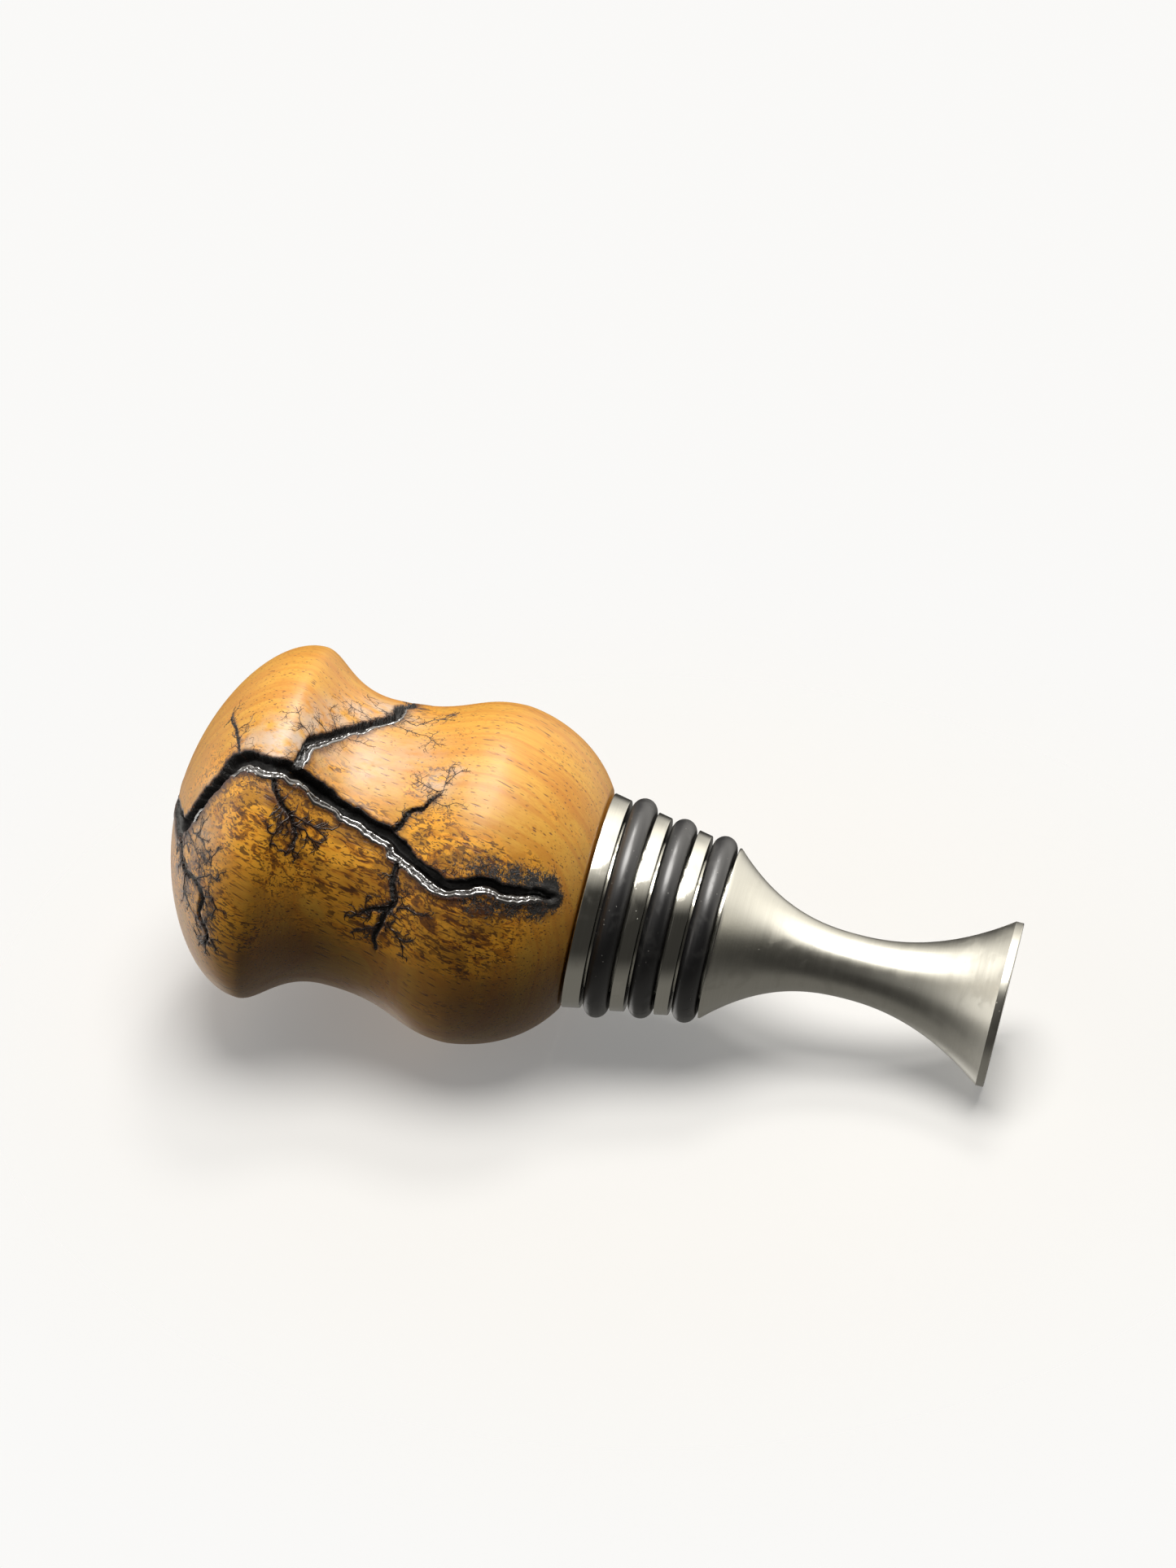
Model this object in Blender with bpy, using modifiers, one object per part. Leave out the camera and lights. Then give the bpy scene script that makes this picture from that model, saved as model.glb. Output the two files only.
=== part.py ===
"""Wooden bottle stopper: a turned knob on a ringed stainless-steel plug.

The stopper stands on the flat end of its tail: Z is its turning axis and Z = 0 that flat end.
The tail is hollowed like an hourglass between the foot and the plug. The plug is a cone with
three O-rings seated in turned grooves, and a headless stud joins it to the knob. The knob is
turned from one piece of wood, and a branching channel is burnt into it.
"""

import math

import bmesh
import bpy
from mathutils import Vector

MM = 0.001

# Tail and foot
FOOT_RADIUS = 8.2 * MM
FOOT_LAND = 0.8 * MM
FOOT_EDGE = 0.15 * MM
TAIL_WAIST_RADIUS = 3.2 * MM
TAIL_WAIST_HEIGHT = 15.1 * MM
TAIL_LENGTH = 28.35 * MM
FOOT_FLARE = 2.1
SHOULDER_FLARE = 2.4

# Plug
PLUG_LENGTH = 13.35 * MM
PLUG_LOWER_RADIUS = 8.5 * MM
PLUG_UPPER_RADIUS = 10.75 * MM
PLUG_EDGE = 0.15 * MM

# O-rings, from the knob's side down
RING_THICKNESS = 2.4 * MM
UPPER_RING_RADIUS = 11.0 * MM
MIDDLE_RING_RADIUS = 10.0 * MM
LOWER_RING_RADIUS = 9.35 * MM
COLLAR_TO_UPPER_RING = 3.2 * MM
RING_PITCH = 4.25 * MM
RING_CLEARANCE = 0.25 * MM

# Stud that joins the knob to the plug, and the blind holes it sits in
STUD_RADIUS = 4.75 * MM
STUD_LENGTH = 19.3 * MM
STUD_IN_PLUG = 9.5 * MM
STUD_CHAMFER = 0.8 * MM
STUD_CLEARANCE = 0.3 * MM
DRILL_POINT = 118.0
SEAT_GAP = 0.3 * MM

# Knob
KNOB_OVERHANG = 0.35 * MM
BULB_RADIUS = 16.95 * MM
BULB_HEIGHT = 10.1 * MM
KNOB_WAIST_RADIUS = 14.35 * MM
KNOB_WAIST_HEIGHT = 22.8 * MM
HEAD_RADIUS = 17.7 * MM
HEAD_HEIGHT = 30.7 * MM
KNOB_HEIGHT = 41.05 * MM
BASE_SLOPE = 58.0

# How far each bend of the knob's outline runs along its tangents, as a share of the height
# between the stations it joins; the base's is a share of the bulb's height and the dome's a
# share of the head's radius
BASE_REACH = 0.6238
BULB_REACH_BELOW = 0.0693
BULB_REACH_ABOVE = 0.4016
WAIST_REACH_BELOW = 0.5669
WAIST_REACH_ABOVE = 0.5823
HEAD_REACH_BELOW = 0.2532
HEAD_REACH_ABOVE = 0.4928
DOME_REACH = 0.5085

# Burnt channels: radius of the round cut and how deep its centre lies under the surface
TRUNK_CUT = 0.88 * MM
TRUNK_SINK = 0.42 * MM
LIMB_CUT = 0.52 * MM
LIMB_SINK = 0.16 * MM
TWIG_CUT = 0.36 * MM
TWIG_SINK = 0.08 * MM

# Mesh resolution
KNOB_STEPS = 72
METAL_STEPS = 48
STUD_STEPS = 32
RING_SEGMENTS = 40
RING_SIDES = 10
SPAN_SEGMENTS = (8, 8, 9, 12)
FLARE_SEGMENTS = 9

# Sizes that follow from the ones above
PLUG_TOP = TAIL_LENGTH + PLUG_LENGTH
KNOB_BASE = PLUG_TOP + SEAT_GAP
KNOB_BASE_RADIUS = PLUG_UPPER_RADIUS + KNOB_OVERHANG
UPPER_RING_HEIGHT = PLUG_TOP - COLLAR_TO_UPPER_RING
STUD_BOTTOM = PLUG_TOP - STUD_IN_PLUG
STUD_TOP = STUD_BOTTOM + STUD_LENGTH
HOLE_RADIUS = STUD_RADIUS + STUD_CLEARANCE

# Routes of the burnt channels on the knob, as stations and turns. A station runs up the
# knob's outline: 0 base edge, 1 bulb, 2 waist, 3 head, 4 top. A turn is in degrees from the
# side that faces -Y towards +X. The third value is the width there, as a share of the full cut.
TRUNK_ROUTE = (
    (3.60, 165, 0.35), (3.72, 158, 0.6), (3.86, 150, 0.8), (3.95, 125, 0.9), (3.95, 40, 1.0),
    (3.86, -8, 1.0), (3.74, -14, 1.0), (3.62, -17, 1.0), (3.56, -11, 0.95), (3.45, 1, 1.0),
    (3.36, 9, 1.0), (3.29, 15, 1.05), (3.22, 17, 1.1), (3.04, 16, 1.05), (2.82, 16, 1.0),
    (2.62, 16, 1.0), (2.42, 15, 0.95), (2.27, 13.5, 0.9), (2.13, 12, 0.9), (2.00, 9.5, 0.95),
    (1.90, 6.5, 0.9), (1.79, 4.5, 0.95), (1.66, 0, 1.0), (1.47, -4, 1.0), (1.30, -6, 0.95),
    (1.19, -7, 0.9), (1.06, -6, 0.85), (0.85, -4, 0.8), (0.70, -4, 0.75), (0.58, -5, 0.7),
    (0.45, -4, 0.65), (0.33, -3, 0.55), (0.22, -3, 0.4),
)
UPPER_LIMB_ROUTE = (
    (2.74, 16, 0.9), (2.68, 19, 1.0), (2.63, 23, 1.0), (2.62, 28, 0.95), (2.48, 32, 1.0),
    (2.32, 38, 0.9), (2.19, 45, 0.95), (2.07, 51, 1.0), (1.98, 57, 1.0), (1.94, 63, 0.9),
    (1.95, 70, 0.9), (1.90, 78, 0.85), (1.93, 86, 0.7), (1.85, 93, 0.6), (1.87, 101, 0.4),
)
SIDE_TWIG_ROUTE = (
    (1.87, 4, 0.8), (1.81, 6, 1.0), (1.74, 8, 0.9), (1.71, 11, 1.0), (1.66, 16, 0.9),
    (1.57, 17.5, 0.8), (1.52, 20.5, 0.6), (1.45, 23.5, 0.4),
)
LOWER_TWIG_ROUTE = (
    (1.64, 0, 0.8), (1.66, -6, 1.0), (1.65, -13, 0.95), (1.61, -18, 1.0), (1.67, -24, 0.9),
    (1.69, -30, 0.8), (1.72, -35, 0.6), (1.69, -40, 0.4),
)
LOWER_FORK_ROUTE = (
    (1.61, -18, 0.8), (1.67, -22, 0.9), (1.77, -24, 0.7), (1.84, -27, 0.4),
)
HEAD_TWIG_ROUTE = (
    (3.00, 15, 0.8), (2.96, 11, 1.0), (2.75, 5.5, 0.9), (2.60, 3, 0.9), (2.52, 0, 0.8),
    (2.45, -4, 0.6), (2.49, -8, 0.4),
)
DOME_TWIG_ROUTE = (
    (3.62, -16, 0.8), (3.57, -24, 0.9), (3.50, -32, 1.0), (3.37, -31, 0.9), (3.29, -34, 0.9),
    (3.29, -42, 0.8), (3.21, -47, 0.6), (3.22, -54, 0.4),
)


def clear_scene():
    """Remove every object of the scene it starts in."""
    for obj in list(bpy.data.objects):
        bpy.data.objects.remove(obj, do_unlink=True)


def new_collection(name):
    """Return a new collection linked to the scene."""
    collection = bpy.data.collections.new(name)
    bpy.context.scene.collection.children.link(collection)
    return collection


def new_material(name, colour, roughness, metallic):
    """Return a Principled material with one colour."""
    material = bpy.data.materials.new(name)
    material.use_nodes = True
    shader = material.node_tree.nodes["Principled BSDF"]
    shader.inputs["Base Color"].default_value = (*colour, 1.0)
    shader.inputs["Roughness"].default_value = roughness
    shader.inputs["Metallic"].default_value = metallic
    material.diffuse_color = (*colour, 1.0)
    return material


def turned(name, profile, steps, material, collection):
    """Turn a profile of (radius, height) points, listed from the top down, about Z."""
    mesh = bpy.data.meshes.new(name)
    points = [(radius, 0.0, height) for radius, height in profile]
    edges = [(i, i + 1) for i in range(len(points) - 1)]
    mesh.from_pydata(points, edges, [])
    mesh.materials.append(material)
    obj = bpy.data.objects.new(name, mesh)
    collection.objects.link(obj)
    screw = obj.modifiers.new("Turning", "SCREW")
    screw.axis = "Z"
    screw.steps = steps
    screw.render_steps = steps
    screw.use_merge_vertices = True
    screw.merge_threshold = 0.00001
    screw.use_smooth_shade = True
    return obj


def blind_hole(mouth, stud_end):
    """Wall and drilled point of a stud's hole, from its mouth to past the stud's end."""
    away = math.copysign(1.0, stud_end - mouth)
    end = stud_end + away * STUD_CLEARANCE
    point = end + away * HOLE_RADIUS / math.tan(math.radians(DRILL_POINT / 2.0))
    return [(HOLE_RADIUS, mouth), (HOLE_RADIUS, end), (0.0, point)]


def knob_spans():
    """Return the cubic spans of the knob's outline, each as four (radius, height) points."""
    slope = math.radians(BASE_SLOPE)
    base = Vector((KNOB_BASE_RADIUS, KNOB_BASE))
    bulb = Vector((BULB_RADIUS, KNOB_BASE + BULB_HEIGHT))
    waist = Vector((KNOB_WAIST_RADIUS, KNOB_BASE + KNOB_WAIST_HEIGHT))
    head = Vector((HEAD_RADIUS, KNOB_BASE + HEAD_HEIGHT))
    top = Vector((0.0, KNOB_BASE + KNOB_HEIGHT))
    lower = Vector((0.0, KNOB_WAIST_HEIGHT - BULB_HEIGHT))
    upper = Vector((0.0, HEAD_HEIGHT - KNOB_WAIST_HEIGHT))
    dome = Vector((0.0, KNOB_HEIGHT - HEAD_HEIGHT))
    rise = BULB_HEIGHT * Vector((math.sin(slope), math.cos(slope)))
    return (
        (base, base + BASE_REACH * rise,
         bulb - BULB_REACH_BELOW * Vector((0.0, BULB_HEIGHT)), bulb),
        (bulb, bulb + BULB_REACH_ABOVE * lower, waist - WAIST_REACH_BELOW * lower, waist),
        (waist, waist + WAIST_REACH_ABOVE * upper, head - HEAD_REACH_BELOW * upper, head),
        (head, head + HEAD_REACH_ABOVE * dome,
         top + DOME_REACH * Vector((HEAD_RADIUS, 0.0)), top),
    )


def outline_point(station):
    """Return the radius and height at a station of the knob's outline."""
    spans = knob_spans()
    index = min(int(station), len(spans) - 1)
    a, b, c, d = spans[index]
    t = station - index
    s = 1.0 - t
    return s ** 3 * a + 3 * s * s * t * b + 3 * s * t * t * c + t ** 3 * d


def knob_profile():
    """Outline of the knob from its top to its base, then up the hole for the stud."""
    points = []
    for index in reversed(range(len(SPAN_SEGMENTS))):
        count = SPAN_SEGMENTS[index]
        points += [outline_point(index + k / count)[:] for k in range(count, 0, -1)]
    points.append(outline_point(0.0)[:])
    return points + blind_hole(KNOB_BASE, STUD_TOP)


def surface_point(station, turn, sink):
    """Point under the knob's surface at a station and a turn, by the depth of sink."""
    radius, height = outline_point(station)
    ahead = outline_point(min(station + 0.02, 4.0))
    behind = outline_point(max(station - 0.02, 0.0))
    along = (ahead - behind).normalized()
    radius -= sink * along.y
    height += sink * along.x
    angle = math.radians(turn)
    return Vector((radius * math.sin(angle), -radius * math.cos(angle), height))


def channel_cutter(name, route, cut, sink, material, collection):
    """Round tube that follows a route on the knob and thins with its widths."""
    curve = bpy.data.curves.new(name, "CURVE")
    curve.dimensions = "3D"
    curve.bevel_depth = cut
    curve.bevel_resolution = 2
    curve.use_fill_caps = True
    spline = curve.splines.new("POLY")
    spline.points.add(len(route) - 1)
    for point, (station, turn, width) in zip(spline.points, route):
        point.co = (*surface_point(station, turn, sink * width), 1.0)
        point.radius = width
    guide = bpy.data.objects.new(name + "_guide", curve)
    collection.objects.link(guide)
    depsgraph = bpy.context.evaluated_depsgraph_get()
    mesh = bpy.data.meshes.new_from_object(guide.evaluated_get(depsgraph))
    work = bmesh.new()
    work.from_mesh(mesh)
    bmesh.ops.remove_doubles(work, verts=work.verts, dist=0.000001)
    bmesh.ops.recalc_face_normals(work, faces=work.faces)
    work.to_mesh(mesh)
    work.free()
    mesh.materials.clear()
    mesh.materials.append(material)
    cutter = bpy.data.objects.new(name, mesh)
    cutter.matrix_world = guide.matrix_world.copy()
    collection.objects.link(cutter)
    bpy.data.objects.remove(guide, do_unlink=True)
    cutter.hide_render = True
    cutter.display_type = "WIRE"
    return cutter


def cut_channel(obj, cutter):
    """Cut one channel out of the knob, with the cutter's charred material in it."""
    cut = obj.modifiers.new(cutter.name, "BOOLEAN")
    cut.operation = "DIFFERENCE"
    cut.solver = "EXACT"
    cut.material_mode = "TRANSFER"
    cut.object = cutter


def build_knob(collection, cutters):
    """Turn the wooden knob and burn its channels into it."""
    wood = new_material("lacquered_wood", (0.42, 0.16, 0.035), 0.2, 0.0)
    char = new_material("charred_wood", (0.012, 0.009, 0.008), 0.25, 0.0)
    knob = turned("wooden_knob", knob_profile(), KNOB_STEPS, wood, collection)
    knob.data.materials.append(char)
    for name, route, cut, sink in (
        ("trunk", TRUNK_ROUTE, TRUNK_CUT, TRUNK_SINK),
        ("upper_limb", UPPER_LIMB_ROUTE, LIMB_CUT, LIMB_SINK),
        ("side_twig", SIDE_TWIG_ROUTE, TWIG_CUT, TWIG_SINK),
        ("lower_twig", LOWER_TWIG_ROUTE, TWIG_CUT, TWIG_SINK),
        ("lower_fork", LOWER_FORK_ROUTE, TWIG_CUT, TWIG_SINK),
        ("head_twig", HEAD_TWIG_ROUTE, TWIG_CUT, TWIG_SINK),
        ("dome_twig", DOME_TWIG_ROUTE, TWIG_CUT, TWIG_SINK),
    ):
        cut_channel(knob, channel_cutter(name, route, cut, sink, char, cutters))
    return knob


def ring_seats():
    """Return the name, outer radius and height of each O-ring, from the top down."""
    radii = (("upper", UPPER_RING_RADIUS), ("middle", MIDDLE_RING_RADIUS),
             ("lower", LOWER_RING_RADIUS))
    return [("o_ring_" + name, radius, UPPER_RING_HEIGHT - index * RING_PITCH)
            for index, (name, radius) in enumerate(radii)]


def plug_radius(height):
    """Radius of the plug's cone at a height."""
    share = (height - TAIL_LENGTH) / PLUG_LENGTH
    return PLUG_LOWER_RADIUS + share * (PLUG_UPPER_RADIUS - PLUG_LOWER_RADIUS)


def plug_profile():
    """Cone of the plug from its collar down, with a square groove for each O-ring."""
    points = [(PLUG_UPPER_RADIUS - PLUG_EDGE, PLUG_TOP),
              (plug_radius(PLUG_TOP - PLUG_EDGE), PLUG_TOP - PLUG_EDGE)]
    half_groove = RING_THICKNESS / 2.0 + RING_CLEARANCE
    for _, radius, height in ring_seats():
        floor = radius - RING_THICKNESS - RING_CLEARANCE
        above, below = height + half_groove, height - half_groove
        points += [(plug_radius(above), above), (floor, above), (floor, below),
                   (plug_radius(below), below)]
    return points


def flare(end_radius, end_height, power):
    """Points of the tail from its waist out to an end, without the waist itself."""
    points = []
    for k in range(1, FLARE_SEGMENTS + 1):
        share = k / FLARE_SEGMENTS
        radius = TAIL_WAIST_RADIUS + (end_radius - TAIL_WAIST_RADIUS) * share ** power
        points.append((radius, TAIL_WAIST_HEIGHT + (end_height - TAIL_WAIST_HEIGHT) * share))
    return points


def tail_profile():
    """Hourglass of the tail from the plug down to the foot's flat end."""
    upper = flare(PLUG_LOWER_RADIUS, TAIL_LENGTH, SHOULDER_FLARE)
    lower = flare(FOOT_RADIUS, FOOT_LAND, FOOT_FLARE)
    foot = [(FOOT_RADIUS, FOOT_EDGE), (FOOT_RADIUS - FOOT_EDGE, 0.0), (0.0, 0.0)]
    return upper[::-1] + [(TAIL_WAIST_RADIUS, TAIL_WAIST_HEIGHT)] + lower + foot


def build_body(collection):
    """Turn the steel body: drilled and grooved plug, hourglass tail and foot in one piece."""
    steel = new_material("stainless_steel", (0.62, 0.60, 0.57), 0.28, 1.0)
    profile = blind_hole(PLUG_TOP, STUD_BOTTOM)[::-1] + plug_profile() + tail_profile()
    return turned("stopper_body", profile, METAL_STEPS, steel, collection)


def build_stud(collection):
    """Turn the headless stud, chamfered at both ends; its thread is left plain."""
    zinc = new_material("zinc_plated_steel", (0.55, 0.55, 0.56), 0.35, 1.0)
    tip = STUD_RADIUS - STUD_CHAMFER
    profile = [(0.0, STUD_TOP), (tip, STUD_TOP), (STUD_RADIUS, STUD_TOP - STUD_CHAMFER),
               (STUD_RADIUS, STUD_BOTTOM + STUD_CHAMFER), (tip, STUD_BOTTOM), (0.0, STUD_BOTTOM)]
    return turned("threaded_stud", profile, STUD_STEPS, zinc, collection)


def build_rings(collection):
    """Place the three O-rings in their grooves."""
    rubber = new_material("black_rubber", (0.018, 0.018, 0.02), 0.35, 0.0)
    for name, radius, height in ring_seats():
        bpy.ops.mesh.primitive_torus_add(
            major_segments=RING_SEGMENTS, minor_segments=RING_SIDES,
            major_radius=radius - RING_THICKNESS / 2.0, minor_radius=RING_THICKNESS / 2.0,
            location=(0.0, 0.0, height))
        ring = bpy.context.object
        ring.name = name
        ring.data.name = name
        ring.data.materials.append(rubber)
        ring.data.shade_smooth()
        for owner in list(ring.users_collection):
            owner.objects.unlink(ring)
        collection.objects.link(ring)


def main():
    """Build the stopper."""
    clear_scene()
    parts = new_collection("wooden_bottle_stopper")
    cutters = new_collection("cutters")
    build_knob(parts, cutters)
    build_body(parts)
    build_stud(parts)
    build_rings(parts)


main()
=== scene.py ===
"""Looks of a wooden bottle stopper: a burnt and lacquered knob on a ringed steel plug."""

import logging
import math
from dataclasses import dataclass, field
from enum import Enum

import bpy
import numpy as np
from bpy.types import Material, Mesh, Node, NodeSocket as Socket, NodeTree, Object
from mathutils import Matrix, Vector
from mathutils.kdtree import KDTree


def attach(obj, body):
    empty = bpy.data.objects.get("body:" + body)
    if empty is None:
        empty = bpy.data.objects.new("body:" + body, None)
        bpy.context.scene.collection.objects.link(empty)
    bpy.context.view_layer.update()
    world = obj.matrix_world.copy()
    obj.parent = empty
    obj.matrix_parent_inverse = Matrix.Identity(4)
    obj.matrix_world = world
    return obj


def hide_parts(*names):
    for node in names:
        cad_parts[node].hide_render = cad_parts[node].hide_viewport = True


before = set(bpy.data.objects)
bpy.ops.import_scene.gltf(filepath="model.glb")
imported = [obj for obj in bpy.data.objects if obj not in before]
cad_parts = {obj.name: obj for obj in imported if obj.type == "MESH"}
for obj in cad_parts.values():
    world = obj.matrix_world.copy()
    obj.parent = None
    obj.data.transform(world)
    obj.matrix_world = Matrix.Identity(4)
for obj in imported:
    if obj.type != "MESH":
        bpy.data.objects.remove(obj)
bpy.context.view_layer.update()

MM = 0.001
BODY = "root"
LOG = logging.getLogger("stopper")

OPAQUE = 1.0
NOISE_MIDDLE = 0.5
# Vector sums whose result is a number
NUMBER_SUMS = ("DOT_PRODUCT", "LENGTH", "DISTANCE")
# Stations run from 0 at the knob's base edge to this at its top
TOP_STATION = 4.0
# In millimetres: spacing of the points along a channel, and a distance beyond all its marks
POINT_SPACING = 0.08
FAR = 9.0

Array = np.ndarray
Pair = tuple[float, float]
Triple = tuple[float, float, float]
Sockets = bpy.types.bpy_prop_collection


class Slot(Enum):
    """The record's material slots."""

    WOOD = "lacquered_wood"
    STEEL = "stainless_steel"
    ZINC = "zinc_plated_steel"
    RUBBER = "black_rubber"


class Bench:
    """Lays nodes in one node tree and joins them."""

    def __init__(self, tree: NodeTree) -> None:
        """Keep the tree that the nodes go into."""
        self.tree = tree

    def feed(self, socket: Socket, value: object) -> None:
        """Give a socket a value, or join another socket to it.

        Args:
            socket: the input that is fed.
            value: a number, a tuple, a colour without its alpha, or an output socket.
        """
        if isinstance(value, Socket):
            self.tree.links.new(value, socket)
        elif socket.type == "RGBA":
            socket.default_value = (*value, OPAQUE)
        else:
            socket.default_value = value

    def fill(self, node: Node, **inputs: object) -> Node:
        """Feed inputs by name, with an underscore for each space.

        Args:
            node: the node that is fed.
            **inputs: a value or an output socket for each input.

        Returns:
            The same node.
        """
        for name, value in inputs.items():
            self.feed(node.inputs[name.replace("_", " ")], value)
        return node

    def fill_at(self, node: Node, values: dict[int, object]) -> Node:
        """Feed inputs by number.

        Args:
            node: the node that is fed.
            values: a value or an output socket for each input's number.

        Returns:
            The same node.
        """
        for index, value in values.items():
            self.feed(node.inputs[index], value)
        return node

    def node(self, kind: str, settings: dict | None = None, **inputs: object) -> Node:
        """Add one node.

        Args:
            kind: the node's type name.
            settings: properties that are set before the inputs.
            **inputs: inputs by name, with an underscore for each space.

        Returns:
            The new node.
        """
        node = self.tree.nodes.new(kind)
        for name, value in (settings or {}).items():
            setattr(node, name, value)
        return self.fill(node, **inputs)

    def math(self, operation: str, *terms: object) -> Socket:
        """Work out one sum of the Math node from its inputs in order."""
        node = self.node("ShaderNodeMath", {"operation": operation})
        return self.fill_at(node, dict(enumerate(terms))).outputs[0]

    def times(self, value: object, factor: object) -> Socket:
        """Multiply two numbers."""
        return self.math("MULTIPLY", value, factor)

    def plus(self, value: object, added: object) -> Socket:
        """Add two numbers."""
        return self.math("ADD", value, added)

    def minus(self, value: object, taken: object) -> Socket:
        """Take one number from another."""
        return self.math("SUBTRACT", value, taken)

    def onto(self, base: object, value: object, factor: object) -> Socket:
        """Add a value, times a factor, to a base."""
        return self.math("MULTIPLY_ADD", value, factor, base)

    def stirred(self, base: object, noise: object, factor: float) -> Socket:
        """Disturb a base by a noise, times a factor, that leaves its average as it is."""
        return self.onto(base, self.minus(noise, NOISE_MIDDLE), factor)

    def vector(self, operation: str, *terms: object) -> Socket:
        """Work out one vector sum, and give its number where it has one."""
        node = self.node("ShaderNodeVectorMath", {"operation": operation})
        return self.fill_at(node, dict(enumerate(terms))).outputs[
            "Value" if operation in NUMBER_SUMS else "Vector"]

    def scaled(self, vector: object, factors: Triple) -> Socket:
        """Multiply a vector by one factor for each axis."""
        return self.vector("MULTIPLY", vector, factors)

    def combine(self, x: object, y: object, z: object) -> Socket:
        """Join three numbers into a vector."""
        return self.node("ShaderNodeCombineXYZ", X=x, Y=y, Z=z).outputs[0]

    def parts(self, vector: object) -> Sockets:
        """Split a vector into its three numbers."""
        return self.node("ShaderNodeSeparateXYZ", Vector=vector).outputs

    def blend(self, share: object, first: object, second: object) -> Socket:
        """Blend two colours, from the first at share 0 to the second at share 1."""
        node = self.node("ShaderNodeMix", {"data_type": "RGBA"})
        return self.fill_at(node, {0: share, 6: first, 7: second}).outputs[2]

    def lay(self, colour: object, tone: Triple, mask: object, strength: float) -> Socket:
        """Lay a tone over a colour, through a mask of the strength given."""
        return self.blend(self.times(mask, strength), colour, tone)

    def between(self, share: object, first: object, second: object) -> Socket:
        """Blend two numbers, from the first at share 0 to the second at share 1."""
        node = self.node("ShaderNodeMix", {"data_type": "FLOAT"})
        return self.fill_at(node, {0: share, 2: first, 3: second}).outputs[0]

    def step(self, value: object, low: object, high: object) -> Socket:
        """Rise smoothly from 0 at low to 1 at high."""
        node = self.node("ShaderNodeMapRange", {"interpolation_type": "SMOOTHSTEP"}, Value=value)
        return self.fill_at(node, {1: low, 2: high}).outputs[0]

    def noise(self, vector: object, scale: object = 1.0, detail: float = 2.0,
              roughness: float = 0.5, distortion: float = 0.0) -> Socket:
        """Add a noise texture, whose value is about 0.5 on average."""
        return self.node("ShaderNodeTexNoise", Vector=vector, Scale=scale, Detail=detail,
                         Roughness=roughness, Distortion=distortion).outputs[0]

    def drawn_out(self, vector: object, length: float, *settings: float) -> Socket:
        """Add a noise whose patches are drawn out along the axis, with noise's settings."""
        return self.noise(self.scaled(vector, (1.0, 1.0, length)), *settings)

    def cells(self, vector: object) -> Sockets:
        """Scatter cells, with a distance from the middle and a random colour for each."""
        return self.node("ShaderNodeTexVoronoi", {"feature": "F1"}, Scale=1.0, Randomness=1.0,
                         Vector=vector).outputs

    def group(self, tree: NodeTree, **inputs: object) -> Sockets:
        """Use a shared effect."""
        return self.node("ShaderNodeGroup", {"node_tree": tree}, **inputs).outputs

    def bump(self, height: object, strength: float = 1.0, distance: float = MM) -> Socket:
        """Read a height as a bumped normal."""
        return self.node("ShaderNodeBump", Strength=strength, Distance=distance,
                         Height=height).outputs[0]

    def attribute(self, name: str) -> Socket:
        """Read a number that the mesh carries."""
        return self.node("ShaderNodeAttribute", {"attribute_name": name}).outputs["Fac"]

    def place(self) -> Socket:
        """Position on the piece, in millimetres."""
        return self.scaled(self.node("ShaderNodeTexCoord").outputs["Object"], (1.0 / MM,) * 3)

    def mixed(self, share: object, first: Socket, second: Socket) -> Socket:
        """Mix two shaders."""
        mix = self.node("ShaderNodeMixShader")
        return self.fill_at(mix, {0: share, 1: first, 2: second}).outputs[0]


def add_inputs(tree: NodeTree, sizes: dict[str, object], plain: str) -> dict[str, str]:
    """Add named inputs to a group, each of the kind of its default value.

    Args:
        tree: the group.
        sizes: default value by input name, with an underscore for each space.
        plain: socket kind of the inputs whose default value is None.

    Returns:
        Identifier by input name.
    """
    keys = {}
    for label, default in sizes.items():
        kind = plain if default is None else type(default).__name__.capitalize()
        socket = tree.interface.new_socket(name=label.replace("_", " "), in_out="INPUT",
                                           socket_type="NodeSocket" + kind)
        if default is not None:
            socket.default_value = default
        keys[label] = socket.identifier
    return keys


def effect(name: str, *outputs: str, **inputs: object) -> tuple[NodeTree, Bench, Sockets, Sockets]:
    """Start a shader node group whose outputs are numbers.

    Args:
        name: the group's name.
        *outputs: the outputs' names.
        **inputs: default value by input name, None for a position.

    Returns:
        The group, its bench, its input sockets and its output sockets by name.
    """
    tree = bpy.data.node_groups.new(name, "ShaderNodeTree")
    add_inputs(tree, inputs, "Vector")
    for label in outputs:
        tree.interface.new_socket(name=label, in_out="OUTPUT", socket_type="NodeSocketFloat")
    return (tree, Bench(tree), tree.nodes.new("NodeGroupInput").outputs,
            tree.nodes.new("NodeGroupOutput").inputs)


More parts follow.
